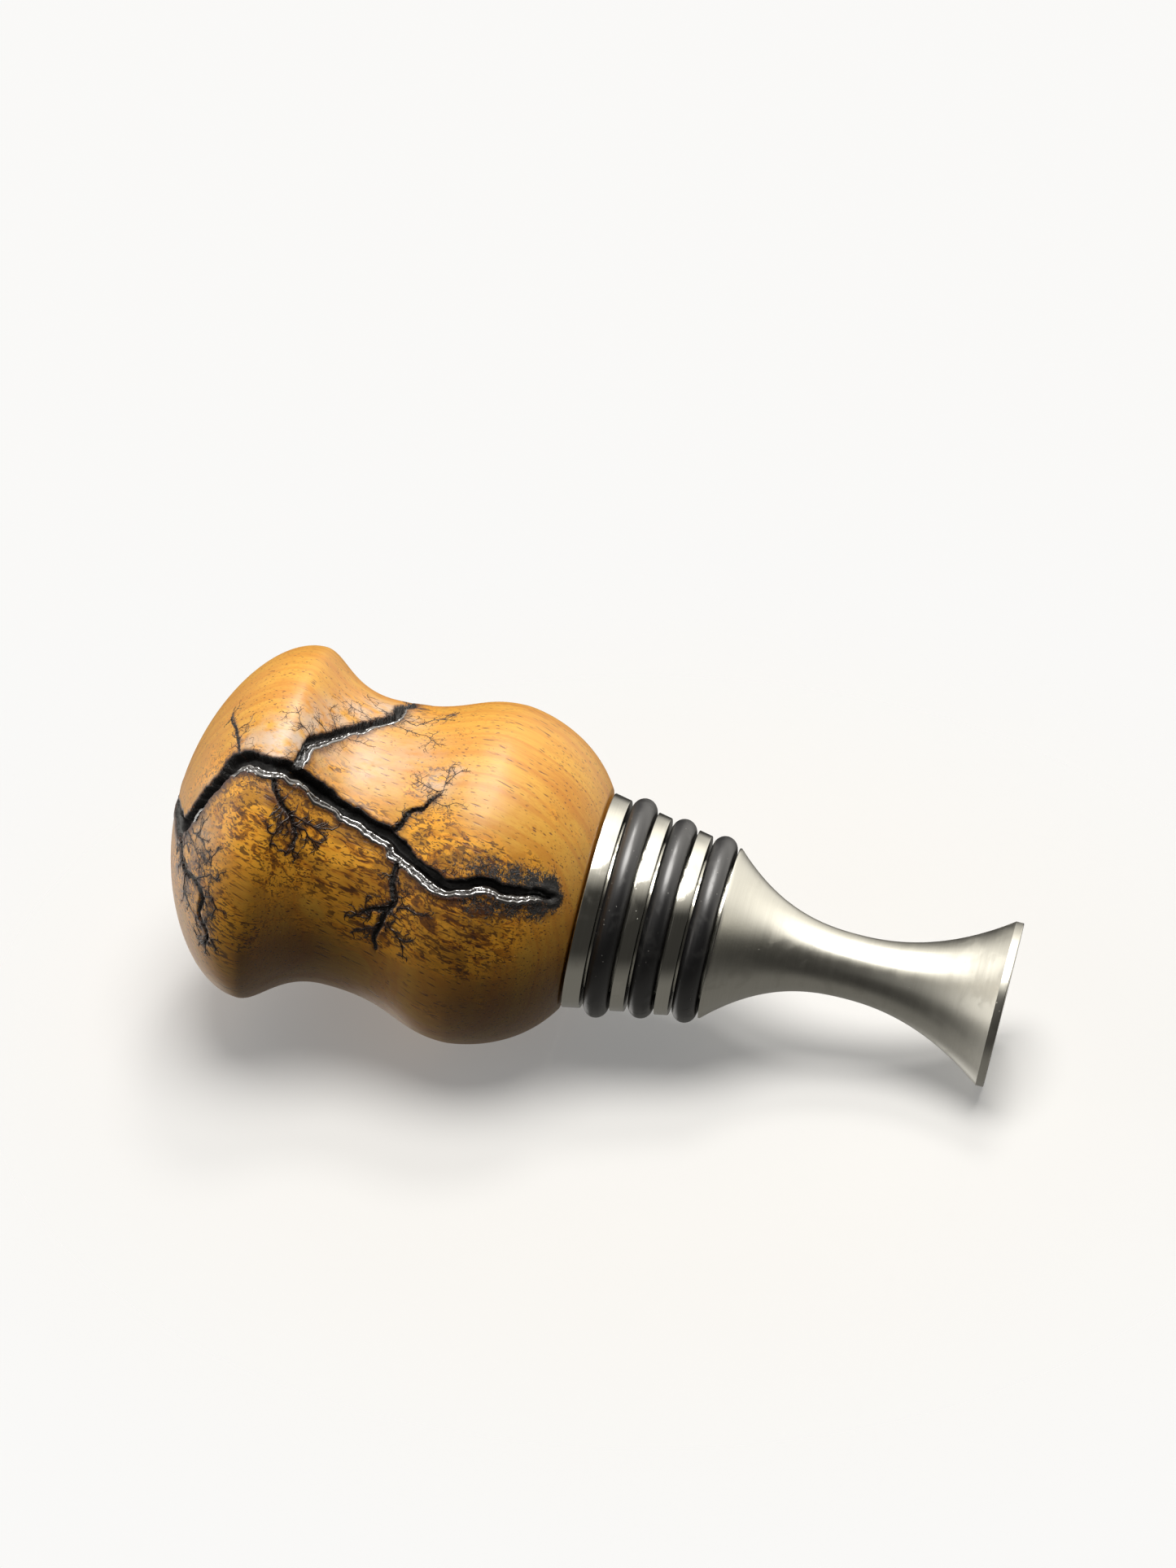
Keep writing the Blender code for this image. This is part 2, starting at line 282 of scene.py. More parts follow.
@dataclass(frozen=True)
class Effects:
    """Effects that several finishes share, built once as node groups."""

    dust: NodeTree
    smudges: NodeTree
    turning: NodeTree

    @staticmethod
    def build() -> "Effects":
        """Build the three groups."""
        return Effects(Effects.dust_group(), Effects.smudge_group(), Effects.turning_group())

    @staticmethod
    def dust_group() -> NodeTree:
        """Scattered specks of dust, each a small bright grain.

        Returns:
            A group with a mask of the specks.
        """
        tree, bench, given, out = effect("dust specks", "Mask", Place=None, Cell=1.0, Amount=0.3,
                                         Size=0.1)
        place, cell, size = given["Place"], given["Cell"], given["Size"]
        cells = bench.cells(bench.vector("DIVIDE", place, bench.combine(cell, cell, cell)))
        picked = bench.math("LESS_THAN", bench.parts(cells["Color"])[0], given["Amount"])
        ragged = bench.onto(cells["Distance"], bench.noise(place, 14.0), 0.12)
        near = bench.step(ragged, bench.plus(size, 0.08), bench.plus(size, 0.05))
        bench.feed(out["Mask"], bench.times(near, picked))
        return tree

    @staticmethod
    def smudge_group() -> NodeTree:
        """Soft finger smudges and handling marks.

        Returns:
            A group with a mask of the smudges.
        """
        tree, bench, given, out = effect("handling smudges", "Mask", Place=None, Spread=0.12,
                                         Amount=0.5)
        coarse = bench.noise(given["Place"], given["Spread"], 4.0, 0.6, 0.8)
        edge = bench.minus(0.62, bench.times(given["Amount"], 0.2))
        bench.feed(out["Mask"], bench.step(coarse, edge, bench.plus(edge, 0.14)))
        return tree

    @staticmethod
    def turning_group() -> NodeTree:
        """Fine lines round the axis, as a lathe and abrasive leave them.

        Returns:
            A group with the lines' value and height.
        """
        tree, bench, given, out = effect("turning marks", "Value", "Height", Place=None,
                                         Fineness=14.0)
        x, y, z = bench.parts(given["Place"])
        across = bench.vector("LENGTH", bench.combine(x, y, 0.0))
        angle = bench.math("ARCTAN2", y, x)
        lines = bench.combine(
            bench.times(bench.onto(z, across, 0.6), given["Fineness"]),
            *[bench.times(bench.math(wave, angle), 1.3) for wave in ("SINE", "COSINE")])
        fine = bench.noise(lines, 1.0, 3.0, 0.65)
        broad = bench.noise(bench.scaled(lines, (0.12, 0.5, 0.5)), 1.0, 2.0)
        bench.feed(out["Value"], bench.between(0.35, fine, broad))
        bench.feed(out["Height"], fine)
        return tree


def new_material(name: str, shown: Triple) -> tuple[Material, Bench, Node, Socket]:
    """Start a procedural material.

    Args:
        name: its name.
        shown: its plain colour in a viewport.

    Returns:
        The material, its bench, its Principled shader and the position in millimetres.
    """
    material = bpy.data.materials.new(name)
    material.use_nodes = True
    material.diffuse_color = (*shown, OPAQUE)
    bench = Bench(material.node_tree)
    return material, bench, material.node_tree.nodes["Principled BSDF"], bench.place()


@dataclass(frozen=True)
class LacqueredWood:
    """Honey-brown turned wood under clear lacquer, with a smoky stain that is partly painted
    sheen, scorch and char.
    """

    pale: Triple = (0.75, 0.390, 0.048)
    deep: Triple = (0.59, 0.215, 0.018)
    pore: Triple = (0.13, 0.036, 0.007)
    gold: Triple = (0.87, 0.325, 0.017)
    amber: Triple = (1.0, 0.47, 0.040)
    olive: Triple = (0.13, 0.044, 0.004)
    toasted: Triple = (0.055, 0.019, 0.004)
    scorched: Triple = (0.050, 0.014, 0.008)
    sooty: Triple = (0.034, 0.014, 0.009)
    # Pale smoky tone: real smoke stain near the burn, and partly a painted sheen of the lacquer
    smoke: Triple = (0.68, 0.54, 0.42)
    char: Triple = (0.006, 0.0045, 0.004)
    ring_facing: float = -43.0
    ring_curve: float = 70.0
    grain_lean: float = 0.2
    lacquer: float = 0.40

    def material(self, effects: Effects) -> Material:
        """Build the knob's material.

        Args:
            effects: the shared node groups.

        Returns:
            The material.
        """
        material, bench, shader, place = new_material("lacquered_wood", self.pale)
        x, y, z = bench.parts(place)
        rings = self.ring_distance(bench, place)
        layers = bench.combine(bench.times(rings, 1.1), 0.0, bench.times(z, 0.012))
        bands = bench.step(bench.noise(layers, 1.0, 4.0, 0.7), 0.25, 0.62)
        grain = bench.combine(bench.onto(x, z, -self.grain_lean), y, z)
        fibre = bench.noise(bench.scaled(grain, (5.0, 5.0, 0.22)), 1.0, 3.0, 0.6)
        cloud = bench.drawn_out(place, 0.5, 0.22, 2.0)
        pores = self.pores(bench, grain)
        colour = bench.blend(bands, self.deep, self.pale)
        colour = bench.lay(colour, self.deep, bench.step(cloud, 0.42, 0.68), 0.4)
        colour = bench.lay(colour, self.deep, bench.step(fibre, 0.52, 0.30), 0.55)
        colour = self.figured(bench, grain, rings, colour)
        colour = bench.lay(colour, self.pore, pores, 0.9)
        colour, burnt = self.burnt(bench, place, colour)
        smudge = bench.group(effects.smudges, Place=place, Spread=0.16, Amount=0.4)["Mask"]
        gloss = bench.stirred(bench.between(smudge, self.lacquer, self.lacquer + 0.05), fibre, 0.2)
        bench.fill(shader, Base_Color=colour, Roughness=bench.between(burnt, gloss, 0.2), IOR=1.46,
                   Coat_Weight=0.45, Coat_Roughness=0.52,
                   Normal=self.relief(bench, place, pores, fibre, burnt))
        return material

    def ring_distance(self, bench: Bench, place: Socket) -> Socket:
        """Depth into the log along its growth rings.

        Args:
            bench: the material's bench.
            place: position in millimetres.

        Returns:
            The depth's socket, in millimetres.
        """
        turn = math.radians(self.ring_facing)
        depth, side = (bench.vector("DOT_PRODUCT", place, way) for way in (
            (math.sin(turn), -math.cos(turn), 0.02), (math.cos(turn), math.sin(turn), 0.03)))
        bow = bench.math("DIVIDE", bench.times(side, side), 2.0 * self.ring_curve)
        return bench.onto(bench.plus(depth, bow), bench.drawn_out(place, 0.35, 0.11, 2.0), 3.2)

    def figured(self, bench: Bench, place: Socket, rings: Socket, colour: Socket) -> Socket:
        """Turn the wood near the burn olive-gold, with dark wavy lines and bright flecks.

        Args:
            bench: the material's bench.
            place: position along the grain, in millimetres.
            rings: depth along the growth rings.
            colour: the wood's colour so far.

        Returns:
            The new colour.
        """
        patchy = bench.drawn_out(place, 0.5, 0.42, 2.0, 0.5, 0.5)
        flecks = bench.drawn_out(place, 0.36, 0.95, 4.0, 0.6, 0.7)
        hairs = bench.drawn_out(place, 0.30, 2.7, 2.0, 0.55, 1.2)
        waves = bench.noise(bench.combine(bench.times(rings, 0.9), bench.times(flecks, 0.5),
                                          bench.times(patchy, 1.6)), 1.0, 2.0, 0.5)
        near = bench.stirred(bench.attribute("toasting"), patchy, 1.3)
        golden = bench.step(near, 0.12, 0.60)
        colour = bench.lay(colour, self.gold, golden, 0.9)
        warm = bench.times(bench.step(flecks, 0.42, 0.50), golden)
        colour = bench.lay(colour, self.amber, warm, 0.85)
        for mask, edges, reach, share, tone in (
                (waves, (0.51, 0.43), (0.2, 0.75), 0.50, self.olive),
                (flecks, (0.45, 0.39), (0.3, 0.8), 0.75, self.toasted),
                (hairs, (0.465, 0.43), (0.12, 0.5), 0.80, self.toasted)):
            dark = bench.times(bench.step(mask, *edges), bench.step(near, *reach))
            colour = bench.lay(colour, tone, dark, share)
        return colour

    def pores(self, bench: Bench, place: Socket) -> Socket:
        """Short dark pore strokes that run along the fibres.

        Args:
            bench: the material's bench.
            place: position in millimetres.

        Returns:
            A mask of the strokes.
        """
        swirl = bench.node("ShaderNodeTexNoise", Vector=place, Scale=0.2, Detail=1.0)
        bent = bench.vector("ADD", place, bench.scaled(swirl.outputs["Color"], (1.6, 1.6, 0.0)))
        patch = bench.noise(place, 0.16, 1.0)
        masks = []
        for size, low, thin in (((2.6, 2.6, 0.21), 0.55, 0.28), ((3.9, 3.9, 0.27), 0.62, 0.24)):
            strokes = bench.cells(bench.scaled(bent, size))
            kept = bench.plus(bench.parts(strokes["Color"])[0], patch)
            masks.append(bench.times(bench.step(strokes["Distance"], thin, 0.10),
                                     bench.step(kept, low, low + 0.35)))
        return bench.math("MAXIMUM", *masks)

    def burnt(self, bench: Bench, place: Socket, colour: Socket) -> tuple[Socket, Socket]:
        """Lay a pale smoky stain that is partly painted sheen, then scorch, soot and char over the
        wood.

        Args:
            bench: the material's bench.
            place: position in millimetres.
            colour: the wood's colour so far.

        Returns:
            The new colour and the mask of the char.
        """
        grit = bench.noise(place, 3.2, 4.0, 0.68)
        fine = bench.noise(place, 7.5, 3.0, 0.65)
        cloud = bench.drawn_out(place, 0.6, 0.9, 3.0, 0.6)
        haze_and_sheen, scorch, soot, crust, groove = (bench.attribute(layer) for layer in (
            "haze_and_sheen", "scorch", "soot", "crust", "groove"))
        # Pale smoky veil: real smoke stain, and partly painted sheen on the wood between the limb
        # and the trunk
        colour = bench.blend(bench.times(haze_and_sheen, bench.step(cloud, 0.28, 0.58)), colour, self.smoke)
        scorch = bench.step(bench.stirred(scorch, grit, 0.8), 0.10, 0.95)
        colour = bench.lay(colour, self.scorched, scorch, 0.97)
        soot = bench.step(bench.stirred(soot, fine, 0.9), 0.3, 1.15)
        colour = bench.lay(colour, self.sooty, soot, 0.92)
        crusty = bench.step(bench.stirred(bench.stirred(crust, grit, 1.3), fine, 1.2), 0.30, 0.46)
        inside = bench.step(bench.stirred(groove, grit, 0.16), 0.46, 0.53)
        burnt = bench.math("MAXIMUM", inside, crusty)
        return bench.blend(burnt, colour, self.char), burnt

    def relief(self, bench: Bench, place: Socket, pores: Socket, fibre: Socket,
               burnt: Socket) -> Socket:
        """Bump of pores and fibres, and of the crackled char.

        Args:
            bench: the material's bench.
            place: position in millimetres.
            pores: mask of the pore strokes.
            fibre: the fibres' value.
            burnt: mask of the char.

        Returns:
            The normal's socket.
        """
        crackle = bench.noise(place, 4.5, 4.0, 0.7)
        fine = bench.onto(bench.times(fibre, 0.006), pores, -0.012)
        smooth = bench.onto(fine, bench.noise(place, 0.5, 1.0), 0.05)
        height = bench.between(burnt, smooth, bench.times(crackle, 0.16))
        return bench.bump(bench.plus(height, lip_height(bench)))


def lip_height(bench: Bench) -> Socket:
    """Height of the two thin ridges of lacquer along a channel's lower edge, in millimetres."""
    return bench.plus(*[bench.times(bench.step(bench.math("ABSOLUTE", bench.minus(
        bench.attribute("lower_edge"), centre)), width, 0.0), height)
        for centre, width, height in ((0.02, 0.11, 0.055), (-0.40, 0.10, 0.06))])


@dataclass(frozen=True)
class GlassyChar:
    """Deep black char under pooled lacquer, inside the channels."""

    black: Triple = (0.004, 0.0032, 0.003)
    # Grey of the lower shelf: painted reflection of the surround
    grey: Triple = (0.018, 0.016, 0.016)

    def material(self) -> Material:
        """Build the channels' material.

        Returns:
            The material.
        """
        material, bench, shader, place = new_material("glassy_char", self.black)
        grit = bench.noise(place, 2.6, 4.0, 0.66)
        low = bench.attribute("lower_edge")
        shelf = bench.times(bench.step(low, -0.62, -0.45), bench.step(low, 0.2, 0.0))
        glossy = bench.between(grit, 0.18, 0.42)
        # The shelf's grey, mottled by grit, is painted reflection on the lower wall
        bench.fill(shader, Base_Color=bench.blend(bench.times(shelf, grit), self.black, self.grey),
                   Roughness=bench.between(shelf, 0.55, glossy), Coat_Weight=shelf, IOR=1.5,
                   Coat_Roughness=0.08,
                   Normal=bench.bump(bench.onto(lip_height(bench), grit, 0.10)))
        return material


@dataclass(frozen=True)
class PooledLacquer:
    """Black beads of lacquer that ran together along the lips of the channels."""

    black: Triple = (0.020, 0.015, 0.012)
    # Grey mottle: grit in the lacquer, lifted partly as painted sheen so the lip lines read pale
    grey: Triple = (0.060, 0.052, 0.046)
    density: float = 2.0

    def material(self) -> Material:
        """Build the beads' material.

        Returns:
            The material.
        """
        material, bench, shader, place = new_material("pooled_lacquer", self.black)
        grit = bench.noise(place, 3.0, 3.0, 0.6)
        # Grey mottle in the beads is partly painted sheen
        bench.fill(shader, Base_Color=bench.blend(grit, self.black, self.grey),
                   Roughness=bench.between(grit, 0.10, 0.20), IOR=self.density, Coat_Weight=1.0,
                   Coat_Roughness=0.06, Coat_IOR=self.density,
                   Normal=bench.bump(grit, 0.3, 0.02 * MM))
        return material


@dataclass(frozen=True)
class CharredVeins:
    """Glossy black char of the fine veins."""

    black: Triple = (0.010, 0.006, 0.005)
    brown: Triple = (0.045, 0.018, 0.010)

    def material(self) -> Material:
        """Build the veins' material.

        Returns:
            The material.
        """
        material, bench, shader, place = new_material("charred_veins", self.black)
        grit = bench.noise(place, 4.0, 3.0, 0.6)
        bench.fill(shader, Base_Color=bench.blend(bench.step(grit, 0.35, 0.7), self.black,
                                                  self.brown),
                   Roughness=bench.between(grit, 0.12, 0.42),
                   Normal=bench.bump(grit, 0.7, 0.03 * MM))
        return material


@dataclass(frozen=True)
class TurnedSteel:
    """Stainless steel: satin on the tail, polished on the plug."""

    bright: Triple = (0.76, 0.745, 0.67)
    dull: Triple = (0.58, 0.565, 0.50)
    speck: Triple = (0.75, 0.72, 0.66)
    satin: float = 0.36
    polished: float = 0.14
    brushing: float = 0.60

    def material(self, effects: Effects, name: str, roughness: float, brushing: float) -> Material:
        """Build one of the two steel finishes.

        Args:
            effects: the shared node groups.
            name: the material's name.
            roughness: how satin it is.
            brushing: how far the turning marks draw out its highlights.

        Returns:
            The material.
        """
        material, bench, shader, place = new_material(name, self.bright)
        marks = bench.group(effects.turning, Place=place, Fineness=9.0)
        smudge = bench.group(effects.smudges, Place=place, Spread=0.35, Amount=0.55)["Mask"]
        dust = bench.group(effects.dust, Place=place, Cell=0.7, Amount=0.16, Size=0.06)["Mask"]
        colour = bench.blend(marks["Value"], self.dull, self.bright)
        colour = bench.lay(colour, self.dull, smudge, 0.35)
        rough = bench.onto(bench.stirred(roughness, marks["Value"], 0.18), smudge, 0.09)
        bench.fill(shader, Base_Color=bench.blend(dust, colour, self.speck),
                   Roughness=bench.onto(rough, dust, 0.3), Metallic=1.0, Anisotropic=brushing,
                   Anisotropic_Rotation=0.25,
                   Normal=bench.bump(bench.onto(marks["Height"], dust, 6.0), 0.5, 0.004 * MM))
        return material


@dataclass(frozen=True)
class BlackRubber:
    """Semi-gloss black rubber with a little dust."""

    black: Triple = (0.010, 0.010, 0.011)
    grey: Triple = (0.023, 0.023, 0.022)
    speck: Triple = (0.34, 0.33, 0.31)

    def material(self, effects: Effects) -> Material:
        """Build the rings' material.

        Args:
            effects: the shared node groups.

        Returns:
            The material.
        """
        material, bench, shader, place = new_material("black_rubber", self.black)
        marks = bench.group(effects.turning, Place=place, Fineness=6.0)
        smudge = bench.group(effects.smudges, Place=place, Spread=0.5, Amount=0.5)["Mask"]
        dust = bench.group(effects.dust, Place=place, Cell=0.5, Amount=0.32, Size=0.09)["Mask"]
        colour = bench.lay(self.black, self.grey, smudge, 0.5)
        rough = bench.between(marks["Value"], 0.25, 0.44)
        bench.fill(shader, Base_Color=bench.blend(dust, colour, self.speck),
                   Roughness=bench.onto(rough, smudge, 0.12), Specular_IOR_Level=1.0,
                   Normal=bench.bump(bench.onto(marks["Height"], dust, 2.5), 0.6, 0.01 * MM))
        return material


@dataclass(frozen=True)
class PlatedZinc:
    """Plain zinc plating on the hidden stud."""

    plating: Triple = (0.52, 0.53, 0.55)
    shade: Triple = (0.38, 0.38, 0.39)

    def material(self, effects: Effects) -> Material:
        """Build the stud's material.

        Args:
            effects: the shared node groups.

        Returns:
            The material.
        """
        material, bench, shader, place = new_material("zinc_plated_steel", self.plating)
        marks = bench.group(effects.turning, Place=place, Fineness=5.0)
        spangle = bench.noise(place, 1.6, 3.0, 0.6)
        bench.fill(shader, Base_Color=bench.blend(spangle, self.shade, self.plating),
                   Roughness=bench.between(marks["Value"], 0.25, 0.5), Metallic=1.0)
        return material


def placed(name: str, data: object) -> Object:
    """Add an object to the scene, at the origin.

    Args:
        name: its name.
        data: its mesh, lamp or camera.

    Returns:
        The new object.
    """
    thing = bpy.data.objects.new(name, data)
    bpy.context.scene.collection.objects.link(thing)
    return thing


class NodeForge:
    """Builds geometry node trees and turns their results into plain meshes."""

    def __init__(self, name: str, **sizes: float | int) -> None:
        """Start a tree with a geometry input, a material input and one for each size.

        Args:
            name: the tree's name.
            **sizes: default value by input name, with an underscore for each space.
        """
        self.tree = bpy.data.node_groups.new(name, "GeometryNodeTree")
        for way in ("INPUT", "OUTPUT"):
            self.tree.interface.new_socket(name="Geometry", in_out=way,
                                           socket_type="NodeSocketGeometry")
        self.keys = add_inputs(self.tree, {"Material": None, **sizes}, "Material")
        self.bench = Bench(self.tree)
        self.given = self.tree.nodes.new("NodeGroupInput").outputs
        self.target = self.tree.nodes.new("NodeGroupOutput")

    def curve(self) -> Socket:
        """Read the mesh that goes into the tree as a curve."""
        return self.bench.node("GeometryNodeMeshToCurve", Mesh=self.given["Geometry"]).outputs[0]

    def circle(self, radius: object, steps: str) -> Socket:
        """Add a circle, with as many points as a named input says."""
        return self.bench.node("GeometryNodeCurvePrimitiveCircle", Radius=radius,
                               Resolution=self.given[steps]).outputs[0]

    def swept(self, path: Socket, section: Socket, **inputs: object) -> Node:
        """Sweep a section along a path."""
        return self.bench.node("GeometryNodeCurveToMesh", Curve=path, Profile_Curve=section,
                               **inputs)

    def close(self, geometry: Node) -> None:
        """End the tree in smooth faces, real instances and the named material.

        Args:
            geometry: the node that gives what the tree has made.
        """
        for kind, inputs in (("SetShadeSmooth", {}), ("RealizeInstances", {}),
                             ("SetMaterial", {"Material": self.given["Material"]})):
            geometry = self.bench.node("GeometryNode" + kind, Geometry=geometry.outputs[0],
                                       **inputs)
        self.bench.feed(self.target.inputs[0], geometry.outputs[0])

    def make(self, name: str, source: Mesh, **values: object) -> Object:
        """Run the tree on a mesh and keep the result as a plain mesh.

        Args:
            name: the new piece's name.
            source: the mesh that goes into the tree.
            **values: input values by name, with an underscore for each space.

        Returns:
            The new piece, at the origin.
        """
        worker = placed(name + "_source", source)
        modifier = worker.modifiers.new("Nodes", "NODES")
        modifier.node_group = self.tree
        for label, value in values.items():
            modifier[self.keys[label]] = value
        depsgraph = bpy.context.evaluated_depsgraph_get()
        mesh = bpy.data.meshes.new_from_object(worker.evaluated_get(depsgraph))
        mesh.name = name
        bpy.data.objects.remove(worker, do_unlink=True)
        return placed(name, mesh)


def hand_over(piece: Object, slot: Slot, node: str | None) -> None:
    """Attach a finished piece to the body, hide the CAD node that it stands for, and log its slot.

    Args:
        piece: the finished piece.
        slot: the record's material slot.
        node: the CAD node that it stands for, if any.
    """
    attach(piece, BODY)
    if node:
        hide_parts(node)
    faces = sum(len(face.vertices) - 2 for face in piece.data.polygons)
    LOG.info("%s: %d triangles, slot %s, for node %s", piece.name, faces, slot.value, node)


def eased(share: Array) -> Array:
    """Smooth a share that runs from 0 to 1 at both of its ends."""
    return share * share * (3.0 - 2.0 * share)


def lengths_along(places: Array) -> Array:
    """Lengths up to each point of a line, from 0."""
    steps = np.linalg.norm(np.diff(places, axis=0), axis=1)
    return np.concatenate(((0.0,), np.cumsum(steps)))


def tree_of(points: Array) -> KDTree:
    """Sort points so that the ones near a place are found quickly.

    Args:
        points: positions, in millimetres.

    Returns:
        The sorted points, each with its number.
    """
    tree = KDTree(len(points))
    for number, point in enumerate(points):
        tree.insert(point, number)
    tree.balance()
    return tree


def within(places: Array, points: Array, reach: float) -> Array:
    """Numbers of the places that lie in the box round some points, widened by a reach."""
    low, high = points.min(axis=0) - reach, points.max(axis=0) + reach
    return np.nonzero(np.all((places > low) & (places < high), axis=1))[0]


def value_noise(points: Array, cell: float, seed: int) -> Array:
    """Smooth seeded noise in space.

    Args:
        points: positions, in millimetres.
        cell: size of one bump, in millimetres.
        seed: fixed seed.

    Returns:
        A value from -1 to 1 for each point.
    """
    scaled = points / cell
    low = np.floor(scaled).astype(np.int64)
    part = eased(scaled - low)
    total = np.zeros(points.shape[:-1])
    for corner in np.ndindex(2, 2, 2):
        at = low + np.array(corner)
        mixed = (at[..., 0] * 73856093) ^ (at[..., 1] * 19349663) ^ (at[..., 2] * 83492791)
        mixed = (mixed ^ (seed * 40503)) & 0x7FFFFFFF
        mixed = ((mixed ^ (mixed >> 13)) * 1274126177) & 0x7FFFFFFF
        mixed = mixed ^ (mixed >> 16)
        share = np.prod(np.where(np.array(corner) == 1, part, 1.0 - part), axis=-1)
        total += share * ((mixed % 65536) / 32767.5 - 1.0)
    return total


@dataclass(frozen=True)
class KnobOutline:
    """Turned outline of the knob, in millimetres, as the CAD knob has it."""

    base_radius: float = 11.1
    base_height: float = 42.0
    base_slope: float = 58.0
    base_reach: float = 6.3
    bulb_radius: float = 16.95
    bulb_height: float = 10.1
    bulb_reaches: Pair = (0.7, 5.1)
    waist_radius: float = 14.35
    waist_height: float = 22.8
    waist_reaches: Pair = (7.2, 4.6)
    head_radius: float = 17.7
    head_height: float = 30.7
    head_reaches: Pair = (2.0, 5.1)
    height: float = 41.05
    dome_reach: float = 9.0
    samples: int = 1601

    def spans(self) -> Array:
        """Work out the outline's four cubic spans.

        Returns:
            Radius and height of four points for each span.
        """
        slope = math.radians(self.base_slope)
        bulb, waist, head = self.bulb_reaches, self.waist_reaches, self.head_reaches
        knots = np.array((
            (self.base_radius, 0.0), (self.bulb_radius, self.bulb_height),
            (self.waist_radius, self.waist_height), (self.head_radius, self.head_height),
            (0.0, self.height)))
        knots[:, 1] += self.base_height
        after = ((self.base_reach * math.sin(slope), self.base_reach * math.cos(slope)),
                 (0.0, bulb[1]), (0.0, waist[1]), (0.0, head[1]))
        before = ((0.0, -bulb[0]), (0.0, -waist[0]), (0.0, -head[0]), (self.dome_reach, 0.0))
        return np.stack((knots[:-1], knots[:-1] + after, knots[1:] + before, knots[1:]), axis=1)

    def at(self, stations: Array) -> tuple[Array, Array]:
        """Read the outline at its stations.

        Args:
            stations: 0 base edge, 1 bulb, 2 waist, 3 head, 4 top.

        Returns:
            Points as (radius, height), and outward directions.
        """
        stations = np.clip(np.asarray(stations, float), 0.0, TOP_STATION)
        index = np.minimum(stations.astype(int), 3)
        t = (stations - index)[..., None]
        a, b, c, d = (self.spans()[index, k] for k in range(4))
        s = 1.0 - t
        points = s ** 3 * a + 3 * s * s * t * b + 3 * s * t * t * c + t ** 3 * d
        along = s * s * (b - a) + 2 * s * t * (c - b) + t * t * (d - c)
        along /= np.linalg.norm(along, axis=-1, keepdims=True)
        return points, np.stack((along[..., 1], -along[..., 0]), axis=-1)

    def surface(self, stations: Array, turns: Array) -> tuple[Array, Array]:
        """Read the knob's surface.

        Args:
            stations: stations on the outline.
            turns: degrees from the side that faces -Y towards +X.

        Returns:
            Positions in millimetres and outward normals.
        """
        points, outward = self.at(stations)
        angle = np.radians(turns)
        spin = np.stack((np.sin(angle), -np.cos(angle)), axis=-1)
        places = np.concatenate((points[..., :1] * spin, points[..., 1:]), axis=-1)
        normals = np.concatenate((outward[..., :1] * spin, outward[..., 1:]), axis=-1)
        return places, normals

    def nearest(self, places: Array) -> tuple[Array, Array]:
        """Find the surface points nearest to positions beside it.

        Args:
            places: positions, in millimetres.

        Returns:
            Stations and turns.
        """
        stations = np.linspace(0.0, TOP_STATION, self.samples)
        points, _ = self.at(stations)
        across = np.hypot(places[:, 0], places[:, 1])
        gaps = (points[:, 0] - across[:, None]) ** 2 + (points[:, 1] - places[:, 2:]) ** 2
        return (stations[np.argmin(gaps, axis=1)],
                np.degrees(np.arctan2(places[:, 0], -places[:, 1])))

    def lengths(self) -> tuple[Array, Array]:
        """Measure the outline: stations, and the lengths up to them from its base edge."""
        stations = np.linspace(0.0, TOP_STATION, self.samples)
        return stations, lengths_along(self.at(stations)[0])


@dataclass
class Channel:
    """One burnt channel: where it runs, how wide and deep it is, and what it scorches."""

    route: tuple[Triple, ...]
    half_width: float
    depth: float
    seed: int
    scorch: float = 0.8
    reach: float = 0.6
    lip: float = 0.03
    ledge: float = 0.0

    def sample(self, outline: KnobOutline) -> dict[str, Array]:
        """Lay closely spaced points along the route, with uneven width and course.

        Args:
            outline: the knob's outline.

        Returns:
            Places, half widths, depths, and sideways directions by name.
        """
        route = np.array(self.route)
        coarse, _ = outline.surface(route[:, 0], route[:, 1])
        along = lengths_along(coarse)
        at = np.arange(0.0, along[-1], POINT_SPACING)
        stations, turns, shares = (smooth_curve(along, route[:, k], at) for k in range(3))
        places, normals = outline.surface(stations, turns)
        tangents = np.gradient(places, axis=0)
        tangents /= np.maximum(np.linalg.norm(tangents, axis=1, keepdims=True), 1e-9)
        sideways = np.cross(normals, tangents)
        line = np.stack((at, np.zeros_like(at), np.full_like(at, 7.3 * self.seed)), axis=1)
        sway, sway_fine, swell, swell_fine, dip = (
            value_noise(line, size, self.seed + seed)
            for size, seed in ((1.7, 0), (0.7, 5), (1.1, 9), (0.45, 13), (1.3, 21)))
        half = self.half_width * shares * (1.0 + 0.2 * swell + 0.14 * swell_fine)
        sway = 0.55 * sway + 0.3 * sway_fine
        places = places + sideways * (sway * 0.35 * self.half_width)[:, None]
        sink = self.depth * np.minimum(shares * 1.15, 1.0) * (1.0 + 0.15 * dip)
        return {"places": places, "half": half, "depth": sink, "sideways": sideways}


def smooth_curve(knots: Array, values: Array, at: Array) -> Array:
    """Read a smooth curve through values.

    Args:
        knots: rising positions of the values.
        values: the values to pass through.
        at: positions to read.

    Returns:
        The curve's value at each position.
    """
    slopes = np.gradient(values, knots)
    index = np.clip(np.searchsorted(knots, at, side="right") - 1, 0, len(knots) - 2)
    width = knots[index + 1] - knots[index]
    t = (at - knots[index]) / width
    a, b = values[index], values[index + 1]
    m, n = slopes[index] * width, slopes[index + 1] * width
    return ((2 * t ** 3 - 3 * t ** 2 + 1) * a + (t ** 3 - 2 * t ** 2 + t) * m
            + (3 * t ** 2 - 2 * t ** 3) * b + (t ** 3 - t ** 2) * n)


